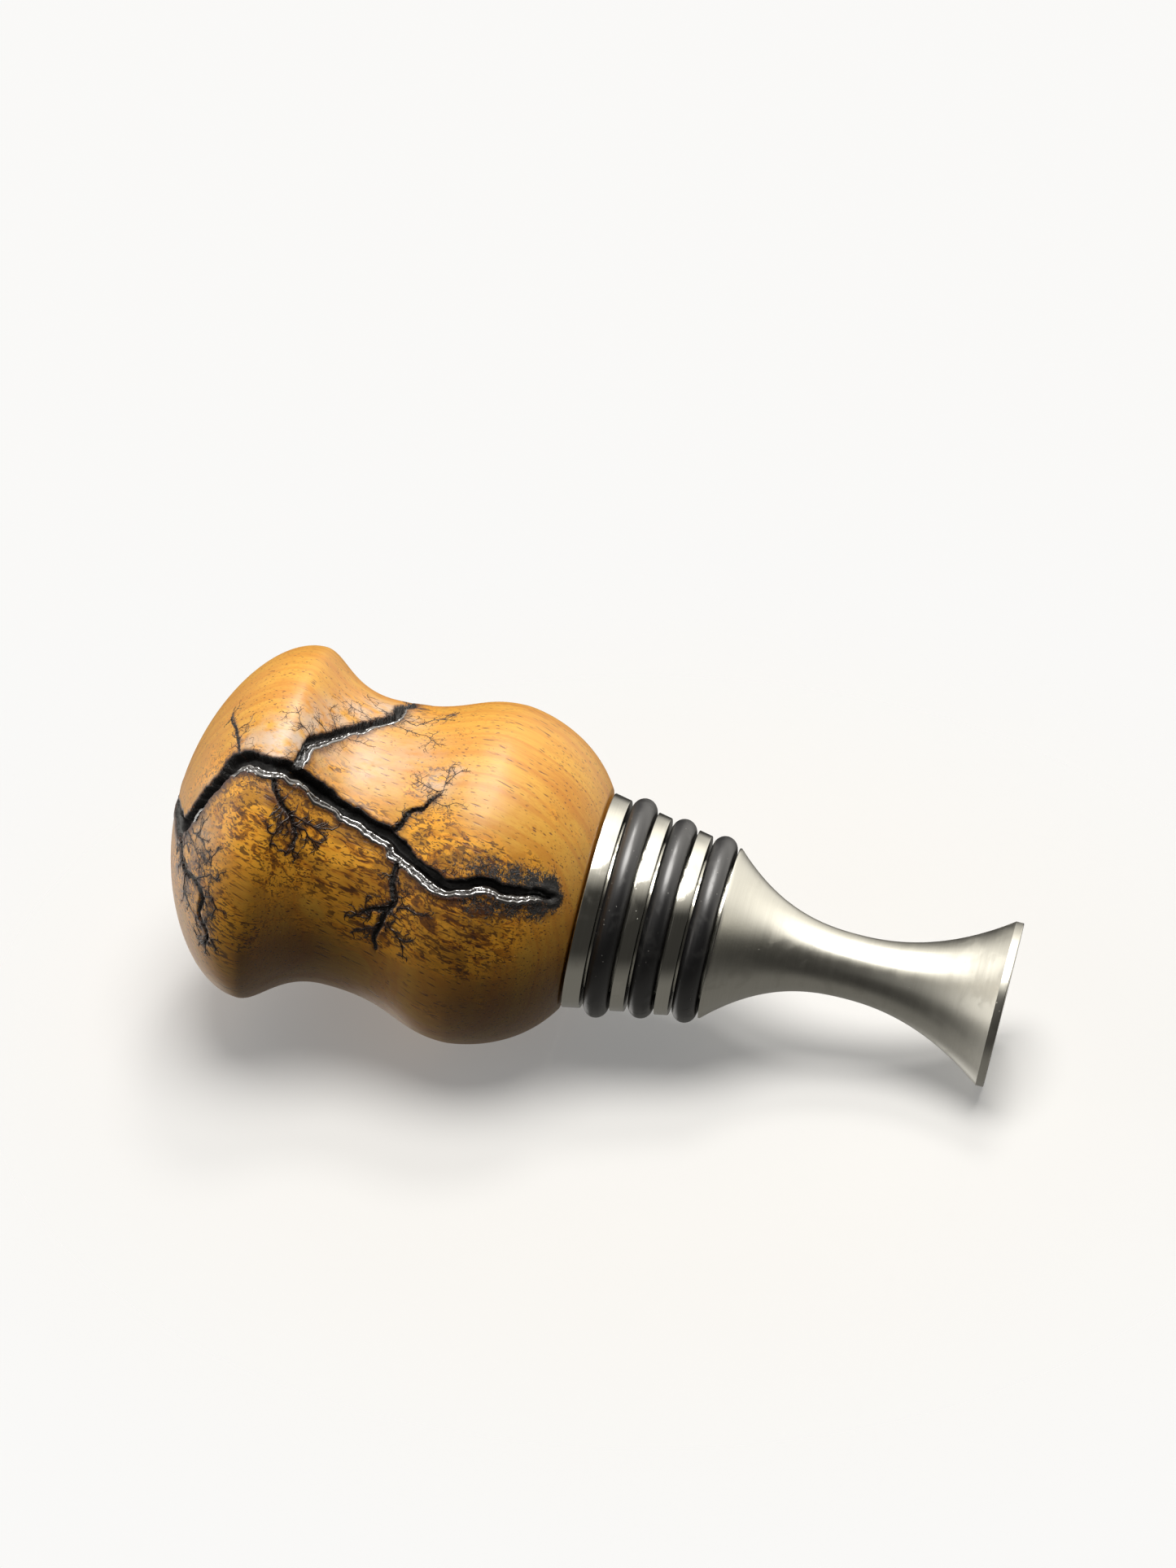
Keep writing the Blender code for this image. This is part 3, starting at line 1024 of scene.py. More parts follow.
# Routes are stations up the outline, turns in degrees and shares of the half width
TRUNK = Channel((
    (3.6, 165, 0.35), (3.72, 158, 0.6), (3.86, 150, 0.8), (3.95, 125, 0.9), (3.95, 40, 1),
    (3.86, -8, 1), (3.74, -14, 1.05), (3.62, -17, 1.1), (3.56, -11, 0.95), (3.45, 1, 1),
    (3.36, 9, 1), (3.29, 15, 1.1), (3.22, 17, 1.15), (3.04, 16.3, 1.1), (2.82, 16.5, 1),
    (2.62, 16, 1), (2.42, 14.8, 0.95), (2.27, 13.5, 0.9), (2.13, 12, 0.9), (2, 9.5, 0.95),
    (1.9, 6.5, 0.95), (1.79, 4.5, 1), (1.66, 0, 1.05), (1.47, -4, 1), (1.3, -6, 0.95),
    (1.19, -7, 0.9), (1.06, -6, 0.85), (0.85, -4, 0.85), (0.7, -4, 0.8), (0.58, -5, 0.75),
    (0.45, -4, 0.7), (0.33, -3, 0.6), (0.2, -3, 0.45)),
    half_width=0.92, depth=1.35, scorch=1, reach=1.5, lip=0.1, seed=3, ledge=0.5)
LIMB = Channel((
    (2.74, 16, 0.8), (2.68, 19, 1), (2.63, 23, 1), (2.62, 28, 0.95), (2.48, 32, 1),
    (2.32, 38, 0.9), (2.19, 45, 0.95), (2.07, 51, 1), (1.98, 57, 1.1), (1.94, 63, 0.95),
    (1.95, 70, 0.9), (1.9, 78, 0.85), (1.93, 86, 0.7), (1.85, 93, 0.6), (1.87, 101, 0.3)),
    half_width=0.6, depth=0.8, scorch=0.9, reach=1.1, lip=0.06, seed=11, ledge=0.4)
TWIGS = (
    # Twig beside the trunk
    Channel((
        (1.87, 4, 0.9), (1.81, 6, 1), (1.74, 8, 0.9), (1.71, 11, 1), (1.66, 16, 0.9),
        (1.57, 17.5, 0.8), (1.52, 20.5, 0.6), (1.45, 23.5, 0.4)),
        half_width=0.3, depth=0.42, seed=17),
    # Twig below the trunk
    Channel((
        (1.64, 0, 0.8), (1.66, -6, 1), (1.65, -13, 0.95), (1.61, -18, 1), (1.67, -24, 0.9),
        (1.69, -30, 0.8), (1.72, -35, 0.6), (1.69, -40, 0.4)),
        half_width=0.34, depth=0.38, seed=19),
    # Fork of the lower twig
    Channel((
        (1.61, -18, 0.8), (1.67, -22, 0.9), (1.77, -24, 0.7), (1.84, -27, 0.4)),
        half_width=0.28, depth=0.3, reach=0.5, lip=0.02, seed=23),
    # Twig under the head's rim
    Channel((
        (3, 15, 0.8), (2.96, 11, 1), (2.75, 5.5, 0.9), (2.6, 3, 0.9), (2.52, 0, 0.8),
        (2.45, -4, 0.6), (2.49, -8, 0.4)),
        half_width=0.27, depth=0.28, seed=29),
    # Twig on the dome
    Channel((
        (3.62, -16, 0.8), (3.57, -24, 0.9), (3.5, -32, 1), (3.37, -31, 0.9), (3.29, -34, 0.9),
        (3.29, -42, 0.8), (3.21, -47, 0.6), (3.22, -54, 0.4)),
        half_width=0.29, depth=0.32, lip=0.02, seed=31),
    # Crack over the rim
    Channel((
        (3.25, 17, 0.8), (3.29, 23, 0.8), (3.34, 30, 1), (3.42, 39, 0.7), (3.42, 45, 0.3)),
        half_width=0.16, depth=0.14, scorch=0.5, reach=0.5, lip=0, seed=37),
)
# Soft round patches by layer, each with its station, turn, radius and strength
STAINS: dict[str, tuple[tuple[float, ...], ...]] = {
    # Pale smoky patches: smoke along the limb, and partly painted sheen where they fill the wood
    # between the limb and the trunk
    "haze_and_sheen": (
        (3.05, 24, 2.6, 0.9), (3.2, 23, 1.8, 0.7), (2.8, 27, 2.2, 0.9), (2.62, 36, 2.4, 0.8),
        (2.4, 45, 2.2, 0.7), (2.2, 55, 2, 0.7), (2, 66, 2.2, 0.8), (1.85, 60, 1.6, 0.5),
        (1.5, 27, 1.8, 0.7), (1.35, 33, 1.3, 0.5), (2.36, 31, 3, 0.5), (2.05, 31, 3, 0.45),
        (1.75, 38, 3, 0.3), (2.1, 42, 2.4, 0.45), (3.42, 4, 1.5, 0.6), (3.4, -12, 2.2, 0.5)),
    "scorch": (
        (2.8, 8.5, 2.2, 0.6), (2.55, 7.5, 2.2, 0.5), (2.32, 5, 2, 0.35), (1.28, 2, 1.4, 0.45),
        (1.12, 3, 1.7, 0.55), (0.93, 4, 1.8, 0.6), (0.74, 4.5, 1.7, 0.6), (1.12, -11, 1.5, 0.5),
        (0.92, -11.5, 1.7, 0.6), (0.7, -12, 1.7, 0.7), (0.5, -10, 1.5, 0.8), (0.5, 3, 1.2, 0.8),
        (0.3, -3, 1.3, 1), (0.22, 0.5, 1.1, 1), (0.25, -8, 1.2, 0.9), (1.62, -26, 1.8, 0.3),
        (1.58, 2, 1, 0.3), (1.67, -17, 1.2, 0.25), (3.3, -36, 2, 0.3), (3.2, -46, 1.6, 0.25),
        (2.6, 0, 1.9, 0.3), (2.45, -4, 1.8, 0.15), (1.97, 60, 1.2, 0.6), (1.9, 72, 1.4, 0.5),
        (2.9, 21, 0.9, 0.35), (1.2, -23, 3.6, 0.5), (0.85, -20, 3.6, 0.55)),
    "crust": (
        (1.1, -0.5, 1.6, 0.26), (0.96, 0.5, 1.6, 0.36), (0.82, 1, 1.6, 0.42), (0.66, 1, 1.6, 0.48),
        (0.5, 1, 1.6, 0.55), (0.36, 1, 1.6, 0.66), (0.24, 0.5, 1.4, 0.9), (0.19, -3.5, 1.2, 0.95),
        (0.3, -8, 1.5, 0.62), (0.46, -9, 1.5, 0.5), (0.62, -9.5, 1.5, 0.46), (0.8, -10, 1.5, 0.42),
        (0.96, -10, 1.4, 0.3)),
    "toasting": (
        (3.45, 4, 2.6, 0.5), (3.2, 4, 5, 0.8), (2.9, -2, 6.5, 0.85), (2.5, -2, 7, 0.8),
        (2.2, -6, 6.5, 0.7), (1.8, -12, 6.8, 0.75), (1.55, -18, 6, 0.95), (1.3, -16, 5.5, 1.15),
        (1, -18, 5.5, 1.15), (0.7, -14, 4.5, 1), (0.9, 4, 3.2, 0.75), (1.2, 5, 3.2, 0.8),
        (1.5, 8, 2.6, 0.7), (3.45, -30, 6, 0.9), (3.2, -40, 5, 0.8), (1.6, 26, 3, 0.35),
        (2.1, 62, 3, 0.45), (1.85, 75, 3, 0.45)),
}


@dataclass
class Burn:
    """All channels and stains of the knob, read at any set of surface points."""

    outline: KnobOutline
    channels: tuple[Channel, ...] = (TRUNK, LIMB) + TWIGS
    reach: float = 7.0
    crust_relief: float = 0.10
    layers: tuple[str, ...] = ("groove", "scorch", "haze_and_sheen", "toasting", "crust", "lower_edge")

    def read(self, places: Array) -> tuple[Array, dict[str, Array]]:
        """Work out the relief and the stains at points of the undisturbed surface.

        Args:
            places: positions, in millimetres.

        Returns:
            Height over the surface in millimetres, and each layer's strength.
        """
        count = len(places)
        sunk = np.zeros(count)
        raised = np.zeros(count)
        layers = {name: np.zeros(count) for name in self.layers}
        layers["lower_edge"] += FAR
        for layer, stains in STAINS.items():
            for station, turn, radius, strength in stains:
                middle, _ = self.outline.surface(np.array([station]), np.array([turn]))
                gap = np.linalg.norm(places - middle[0], axis=1) / radius
                layers[layer] = np.maximum(layers[layer], strength * np.exp(-gap * gap))
        fray = 0.07 * value_noise(places, 0.55, 41) + 0.05 * value_noise(places, 0.25, 43)
        for channel in self.channels:
            line = channel.sample(self.outline)
            tree = tree_of(line["places"])
            near = within(places, line["places"], self.reach)
            index, distance = map(np.array, zip(*[tree.find(places[k])[1:] for k in near]))
            half = line["half"][index]
            offset = places[near] - line["places"][index]
            side = np.einsum("ij,ij->i", offset, line["sideways"][index])
            gap = distance + fray[near] * np.clip(half / 0.4, 0.3, 1.0) - half
            self.carve(channel, near, gap, side, half, line["depth"][index], sunk, raised)
            layers["groove"][near] = np.maximum(layers["groove"][near],
                                                np.clip(0.5 - gap, 0.0, 1.0))
            if channel.ledge:
                low = np.where(side < 0.35 * half, gap, FAR)
                layers["lower_edge"][near] = np.minimum(layers["lower_edge"][near], low)
            spread = channel.reach * np.where(side < 0.0, 0.75, 0.22)
            glow = channel.scorch * np.exp(-np.maximum(gap, 0.0) / spread)
            layers["scorch"][near] = np.maximum(layers["scorch"][near], glow)
        lumps = value_noise(places, 0.7, 51) + 0.8 * value_noise(places, 0.4, 53)
        crust = np.clip(layers["crust"], 0.0, 1.0)
        relief = raised * (layers["groove"] < 0.5) - sunk + self.crust_relief * crust * lumps
        return relief, layers

    def carve(self, channel: Channel, near: Array, gap: Array, side: Array, half: Array,
              depth: Array, sunk: Array, raised: Array) -> None:
        """Add one channel's section to the relief.

        Args:
            channel: the channel.
            near: indices of the points within its reach.
            gap: distance outside its edge, in millimetres, negative inside.
            side: distance to its left, in millimetres.
            half: half width beside each point.
            depth: depth beside each point.
            sunk: depth so far, changed in place.
            raised: lip height so far, changed in place.
        """
        inside = np.clip(-gap / half, 0.0, 1.0)
        wall = eased(np.clip(inside / 0.45, 0.0, 1.0))
        if channel.ledge:
            first = np.clip(inside / 0.22, 0.0, 1.0)
            second = eased(np.clip((inside - 0.42) / 0.4, 0.0, 1.0))
            upper_share = channel.ledge * 0.5
            wall = np.where(side < 0.0, upper_share * first + (1.0 - upper_share) * second, wall)
        sunk[near] = np.maximum(sunk[near], depth * wall)
        bead = channel.lip * np.exp(-((gap - 0.24) / 0.2) ** 2) * np.where(side < 0.0, 1.0, 0.3)
        raised[near] = np.maximum(raised[near], bead)


@dataclass(frozen=True)
class VeinFamily:
    """One drawn vein and the finer ones that grow from it."""

    route: tuple[Pair, ...]
    radius: float
    per_mm: float = 1.2
    length: float = 1.8
    spread: Pair = (35.0, 75.0)
    sides: tuple[int, ...] = (-1, 1)
    generations: int = 3
    drawn: bool = True


FAMILIES = tuple(VeinFamily(*row) for row in (
    # Fan under the head's rim
    (((2.96, 11.2), (2.75, 5.5), (2.6, 3), (2.69, -1.2), (2.77, -5.8), (2.77, -9.8)), 0.2, 1.6,
     1.7),
    (((2.6, 3), (2.52, 0.2), (2.45, -4), (2.49, -8), (2.54, -11.5)), 0.2, 1.6, 1.6),
    (((2.52, 0.2), (2.36, -1.2), (2.25, -4), (2.19, -6)), 0.17, 1.6, 1.4),
    (((2.6, 3), (2.4, 2), (2.23, 0.8), (2.12, 1.8)), 0.17, 1.6, 1.4),
    (((2.75, 5.5), (2.83, 2.8), (2.9, 0.5)), 0.16, 1.5, 1.2),
    # Branches of the lower twig
    (((1.66, -5.5), (1.65, -13), (1.61, -18), (1.67, -24.5), (1.69, -30), (1.72, -34.2),
     (1.69, -40.2)), 0.17, 1.3, 2),
    (((1.61, -18), (1.67, -22.2), (1.77, -24), (1.84, -26.8), (1.9, -31)), 0.2, 1.7, 1.8),
    (((1.58, -20), (1.48, -18.2), (1.38, -19.5), (1.3, -18.5)), 0.17, 1.5, 1.6),
    (((1.65, -27), (1.57, -29), (1.47, -32), (1.4, -33)), 0.19, 1.5, 1.5),
    (((1.69, -30), (1.8, -33), (1.88, -37)), 0.16, 1.4, 1.4),
    # Dome side
    (((3.62, -16), (3.56, -25), (3.52, -33), (3.47, -32.8), (3.37, -30), (3.29, -33.5),
     (3.29, -42.5), (3.21, -46.5), (3.22, -54.5)), 0.2, 1.3, 2),
    (((3.47, -32.8), (3.46, -41.5), (3.36, -44.5), (3.25, -44.8)), 0.19, 1.3, 1.8),
    (((3.29, -33.5), (3.21, -31.2), (3.17, -34.5), (3.19, -40.2)), 0.16, 1.3, 1.6),
    (((3.49, -13), (3.37, -14.5), (3.29, -17.8), (3.25, -21.8)), 0.16, 1.1, 1.8),
    (((3.37, -30), (3.26, -24), (3.19, -25.2)), 0.16, 1.2, 1.5),
    (((3.52, -15.2), (3.44, -19), (3.36, -22)), 0.13, 1.2, 1.5),
    # Crack over the rim and hairs on the head
    (((3.25, 19), (3.29, 23.2), (3.34, 30), (3.42, 39.2), (3.42, 44.8)), 0.1, 0.9, 1.3),
    (((3.33, 29.8), (3.27, 32), (3.25, 35.8)), 0.08, 1.2, 1.2),
    (((2.56, 30), (2.71, 32.2), (2.88, 35), (3, 38.8)), 0.085, 1.5, 1.5),
    (((2.41, 35.2), (2.51, 38.2), (2.68, 39)), 0.08, 1.5, 1.4),
    (((2.3, 39.5), (2.41, 43.2), (2.51, 46.5)), 0.08, 1.5, 1.4),
    (((2.06, 52.5), (2.16, 56.2), (2.25, 56.2), (2.38, 57.2)), 0.08, 1.5, 1.4),
    (((1.97, 58), (2.01, 63.5), (2.09, 65), (2.21, 71.8)), 0.08, 1.5, 1.4),
    (((1.93, 60.8), (1.82, 57), (1.73, 62), (1.62, 64), (1.53, 70.5)), 0.1, 1.4, 1.5),
    (((1.97, 55.5), (1.87, 53), (1.74, 51.2), (1.59, 44.8)), 0.085, 1.4, 1.4),
    (((2.25, 39), (2.1, 40.2), (1.99, 40)), 0.07, 1.2, 1.2),
    # Hook of the side twig
    (((1.81, 6), (1.71, 11), (1.66, 16.5), (1.57, 17.5), (1.53, 20.5), (1.42, 24), (1.41, 28.2),
     (1.34, 31.5), (1.27, 33.5)), 0.12, 1.2, 1.2),
    (((1.42, 24), (1.54, 25), (1.64, 26.8), (1.7, 28.2)), 0.085, 1.5, 1.2),
    (((1.53, 20.5), (1.38, 19.2), (1.25, 20.8), (1.14, 19.8)), 0.075, 1.3, 1.2),
    (((1.41, 28.2), (1.43, 34.2), (1.38, 37.5)), 0.085, 1.5, 1.2),
    # Hairs out of the channels themselves, which aren't drawn again
    (((3.22, 19.5), (3.04, 18.8), (2.82, 19)), 0.07, 2.4, 2.2, (60, 110), (-1,), 3, False),
    (((2.6, 31), (2.48, 34), (2.32, 40), (2.19, 47), (2.07, 53), (1.98, 59), (1.95, 66)), 0.07,
     2.6, 2.4, (50, 110), (-1, 1), 3, False),
    (((3.24, 13), (3.04, 12.5), (2.82, 12.8), (2.62, 12.5), (2.42, 11)), 0.07, 1.8, 1.4,
     (60, 110), (1,), 2, False),
    (((1.56, 0.5), (1.4, -2), (1.19, -3.5), (0.95, -1), (0.6, 0)), 0.07, 1.8, 1.6, (60, 110),
     (-1,), 3, False),
    (((1.3, -9), (1.1, -10.5), (0.85, -8.5), (0.6, -9), (0.3, -8)), 0.08, 2.4, 1.3, (60, 110),
     (1,), 2, False),
))


class VeinGrower:
    """Grows branching veins over the knob in small steps."""

    STEP = 0.15
    CELL = 0.145
    WANDER = 0.34
    PULL = 0.10
    HAIRS = 2.3
    THINNING = 0.74
    CROWDING = 1.55
    BRANCHING = 0.36
    LEAST_RADIUS = 1.5
    WHISKER_STEP = 0.13
    SOOT_REACH = 0.7
    SOOT_SPREAD = 0.26
    SOOT_STRENGTH = 1.4

    def __init__(self, outline: KnobOutline, burn: Burn, seed: int) -> None:
        """Measure the outline once.

        Args:
            outline: the knob's outline.
            burn: the channels that the veins sink into.
            seed: fixed seed for the growth.
        """
        self.outline = outline
        self.burn = burn
        self.random = np.random.default_rng(seed)
        self.stations, self.lengths = outline.lengths()
        self.radii = outline.at(self.stations)[0][:, 0]
        self.taken: dict[tuple[int, int, int], int] = {}
        self.veins: list[tuple[Array, Array]] = []

    def to_flat(self, route: tuple[Pair, ...]) -> Array:
        """Turn (station, turn) points into (length up the outline, turn)."""
        points = np.array(route)
        return np.stack((np.interp(points[:, 0], self.stations, self.lengths),
                         points[:, 1]), axis=1)

    def across(self, up: float, least: float = 0.0) -> float:
        """Radius of the knob at a length up its outline, but not less than the least."""
        return max(float(np.interp(up, self.lengths, self.radii)), least)

    def heading_at(self, line: Array, index: int) -> float:
        """Way that a line runs at one of its points, in radians from straight up."""
        ahead = line[index + 1] - line[index - 1]
        return math.atan2(math.radians(ahead[1]) * self.across(line[index, 0]), ahead[0])

    def station_at(self, up: Array) -> Array:
        """Stations at lengths up the outline."""
        return np.interp(up, self.lengths, self.stations)

    def cell(self, up: float, turn: float) -> tuple[int, int, int]:
        """Cell of space that a point of the surface falls in."""
        radius, angle = self.across(up), math.radians(turn)
        return (int(up // self.CELL), int(radius * math.sin(angle) // self.CELL),
                int(radius * math.cos(angle) // self.CELL))

    def drawn(self, family: VeinFamily) -> Array:
        """Fill in a drawn route with small wandering steps.

        Args:
            family: the family whose route is filled in.

        Returns:
            Points as (length up the outline, turn).
        """
        flat = self.to_flat(family.route)
        places, _ = self.outline.surface(self.station_at(flat[:, 0]), flat[:, 1])
        along = lengths_along(places)
        at = np.arange(0.0, along[-1], self.STEP)
        line = np.stack([np.interp(at, along, flat[:, k]) for k in range(2)], axis=1)
        key = np.stack((at, at * 0.0, at * 0.0 + 31.7 * len(self.veins)), axis=1)
        up, up_fine, aside, aside_fine = (value_noise(key, size, seed) for size, seed in (
            (0.8, 61), (0.35, 62), (0.7, 63), (0.35, 64)))
        line[:, 0] += 0.16 * up + 0.07 * up_fine
        radius = np.interp(line[:, 0], self.lengths, self.radii)
        line[:, 1] += np.degrees((0.16 * aside + 0.07 * aside_fine) / np.maximum(radius, 2.0))
        return line

    def keep(self, line: Array, radii: Array) -> int:
        """Store one vein and mark its cells.

        Args:
            line: points as (length up the outline, turn).
            radii: radius at each point, in millimetres.

        Returns:
            The vein's number.
        """
        number = len(self.veins)
        for up, turn in line:
            self.taken.setdefault(self.cell(up, turn), number)
        self.veins.append((line, radii))
        return number

    def grow(self, up: float, turn: float, heading: float, length: float, radius: float,
             generation: int, parent: int, bending: float) -> None:
        """Grow one vein and its branches.

        Args:
            up: start, as a length up the outline.
            turn: start, in degrees.
            heading: way that it sets off, in radians from straight up the outline.
            length: how far it grows, in millimetres.
            radius: radius at its root, in millimetres.
            generation: how many more times it may branch.
            parent: number of the vein that it grows from.
            bending: slow bend over its length, in radians for each step.
        """
        steps = max(int(length / self.STEP), 2)
        aim, points, roots = heading, [(up, turn)], []
        for count in range(steps):
            aim += bending
            heading += self.random.normal(0.0, self.WANDER) + self.PULL * (aim - heading)
            across = self.across(up, self.LEAST_RADIUS)
            up += self.STEP * math.cos(heading)
            turn += math.degrees(self.STEP * math.sin(heading) / across)
            if not 0.6 < up < self.lengths[-1] - 1.0:
                break
            owner = self.taken.get(self.cell(up, turn))
            if owner is not None and not (owner == parent and count < 3):
                break
            points.append((up, turn))
            if generation > 0 and count > 1 and self.random.random() < self.BRANCHING:
                roots.append((up, turn, heading, 1.0 - count / steps))
        if len(points) < 3:
            return
        line = np.array(points)
        taper = np.linspace(1.0, 0.35, len(line))
        number = self.keep(line, radius * taper)
        for root_up, root_turn, root_heading, left in roots:
            side = self.random.choice((-1.0, 1.0))
            angle = math.radians(self.random.uniform(32.0, 68.0))
            self.grow(root_up, root_turn, root_heading + side * angle,
                      length * (0.3 + 0.4 * left), radius * 0.8, generation - 1, number,
                      self.random.normal(0.0, 0.03))

    def sprout(self, family: VeinFamily) -> None:
        """Draw a family's first vein and grow finer ones along it.

        Args:
            family: the family to grow.
        """
        line = self.drawn(family)
        number = -1
        if family.drawn:
            number = self.keep(line, self.THINNING * family.radius
                               * np.linspace(1.0, 0.6, len(line)))
        for index in range(2, len(line) - 1):
            if self.random.random() > family.per_mm * self.CROWDING * self.STEP:
                continue
            up, turn = line[index]
            heading = self.heading_at(line, index)
            side = self.random.choice(family.sides)
            swing = math.radians(self.random.uniform(*family.spread))
            length = family.length * self.random.uniform(0.45, 1.35)
            self.grow(up, turn, heading + side * swing, length,
                      self.THINNING * family.radius * 0.8,
                      family.generations - 1, number, self.random.normal(0.0, 0.04))

    def grow_all(self) -> None:
        """Grow every family, the drawn ones first, and then short hairs on all of them."""
        for family in sorted(FAMILIES, key=lambda family: not family.drawn):
            self.sprout(family)
        for line, radii in list(self.veins):
            for index in range(1, len(line) - 1):
                if self.random.random() < self.HAIRS * self.STEP:
                    self.whisker(line, radii[index], index)

    def whisker(self, line: Array, radius: float, index: int) -> None:
        """Add one short hair to a vein.

        Args:
            line: the vein's points.
            radius: its radius there, in millimetres.
            index: the point that the hair starts from.
        """
        across = self.across(line[index, 0], self.LEAST_RADIUS)
        heading = self.heading_at(line, index)
        heading += self.random.choice((-1.0, 1.0)) * math.radians(self.random.uniform(30, 95))
        points = [tuple(line[index])]
        for _ in range(self.random.integers(2, 5)):
            heading += self.random.normal(0.0, 0.5)
            up, turn = points[-1]
            points.append((up + self.WHISKER_STEP * math.cos(heading),
                           turn + math.degrees(self.WHISKER_STEP * math.sin(heading) / across)))
        thin = min(radius * 0.6, 0.036)
        self.veins.append((np.array(points), thin * np.linspace(1.0, 0.45, len(points))))

    def soot(self, places: Array) -> Array:
        """Read how sooty the wood is beside the veins.

        Args:
            places: positions on the knob, in millimetres.

        Returns:
            A value from 0 to 1 for each position.
        """
        flats = np.concatenate([line for line, _ in self.veins])
        radii = np.concatenate([thick for _, thick in self.veins])
        points, _ = self.outline.surface(self.station_at(flats[:, 0]), flats[:, 1])
        tree = tree_of(points)
        result = np.zeros(len(places))
        for k in within(places, points, 2.0 * self.SOOT_REACH):
            total = sum(radii[number] * math.exp(-(gap / self.SOOT_SPREAD) ** 2)
                        for _, number, gap in tree.find_range(places[k], self.SOOT_REACH))
            result[k] = min(total * self.SOOT_STRENGTH, 1.0)
        return result

    def mesh(self, name: str, sunk: float) -> Mesh:
        """Lay every vein on the knob, sunk by a share of its radius."""
        lines = [(self.station_at(line[:, 0]), line[:, 1], radii) for line, radii in self.veins]
        return lay_lines(name, self.outline, self.burn, lines, sunk)


def lay_lines(name: str, outline: KnobOutline, burn: Burn, lines: list[tuple[Array, Array, Array]],
              sunk: float) -> Mesh:
    """Lay chains of edges on the burnt knob.

    Args:
        name: the mesh's name.
        outline: the knob's outline.
        burn: the relief that the lines follow.
        lines: stations, turns and radii of each line.
        sunk: share of its radius by which a line's middle lies under the surface.

    Returns:
        A mesh of edges that carries the radius at each point.
    """
    stations, turns, radii = (np.concatenate([line[k] for line in lines]) for k in range(3))
    places, normals = outline.surface(stations, turns)
    relief, _ = burn.read(places)
    places = places + normals * (relief - sunk * radii)[:, None]
    edges, start = [], 0
    for line, _, _ in lines:
        edges += [(start + k, start + k + 1) for k in range(len(line) - 1)]
        start += len(line)
    mesh = bpy.data.meshes.new(name)
    mesh.from_pydata((places * MM).tolist(), edges, [])
    thick = mesh.attributes.new("thickness", "FLOAT", "POINT")
    thick.data.foreach_set("value", (radii * MM).astype(np.float32))
    return mesh


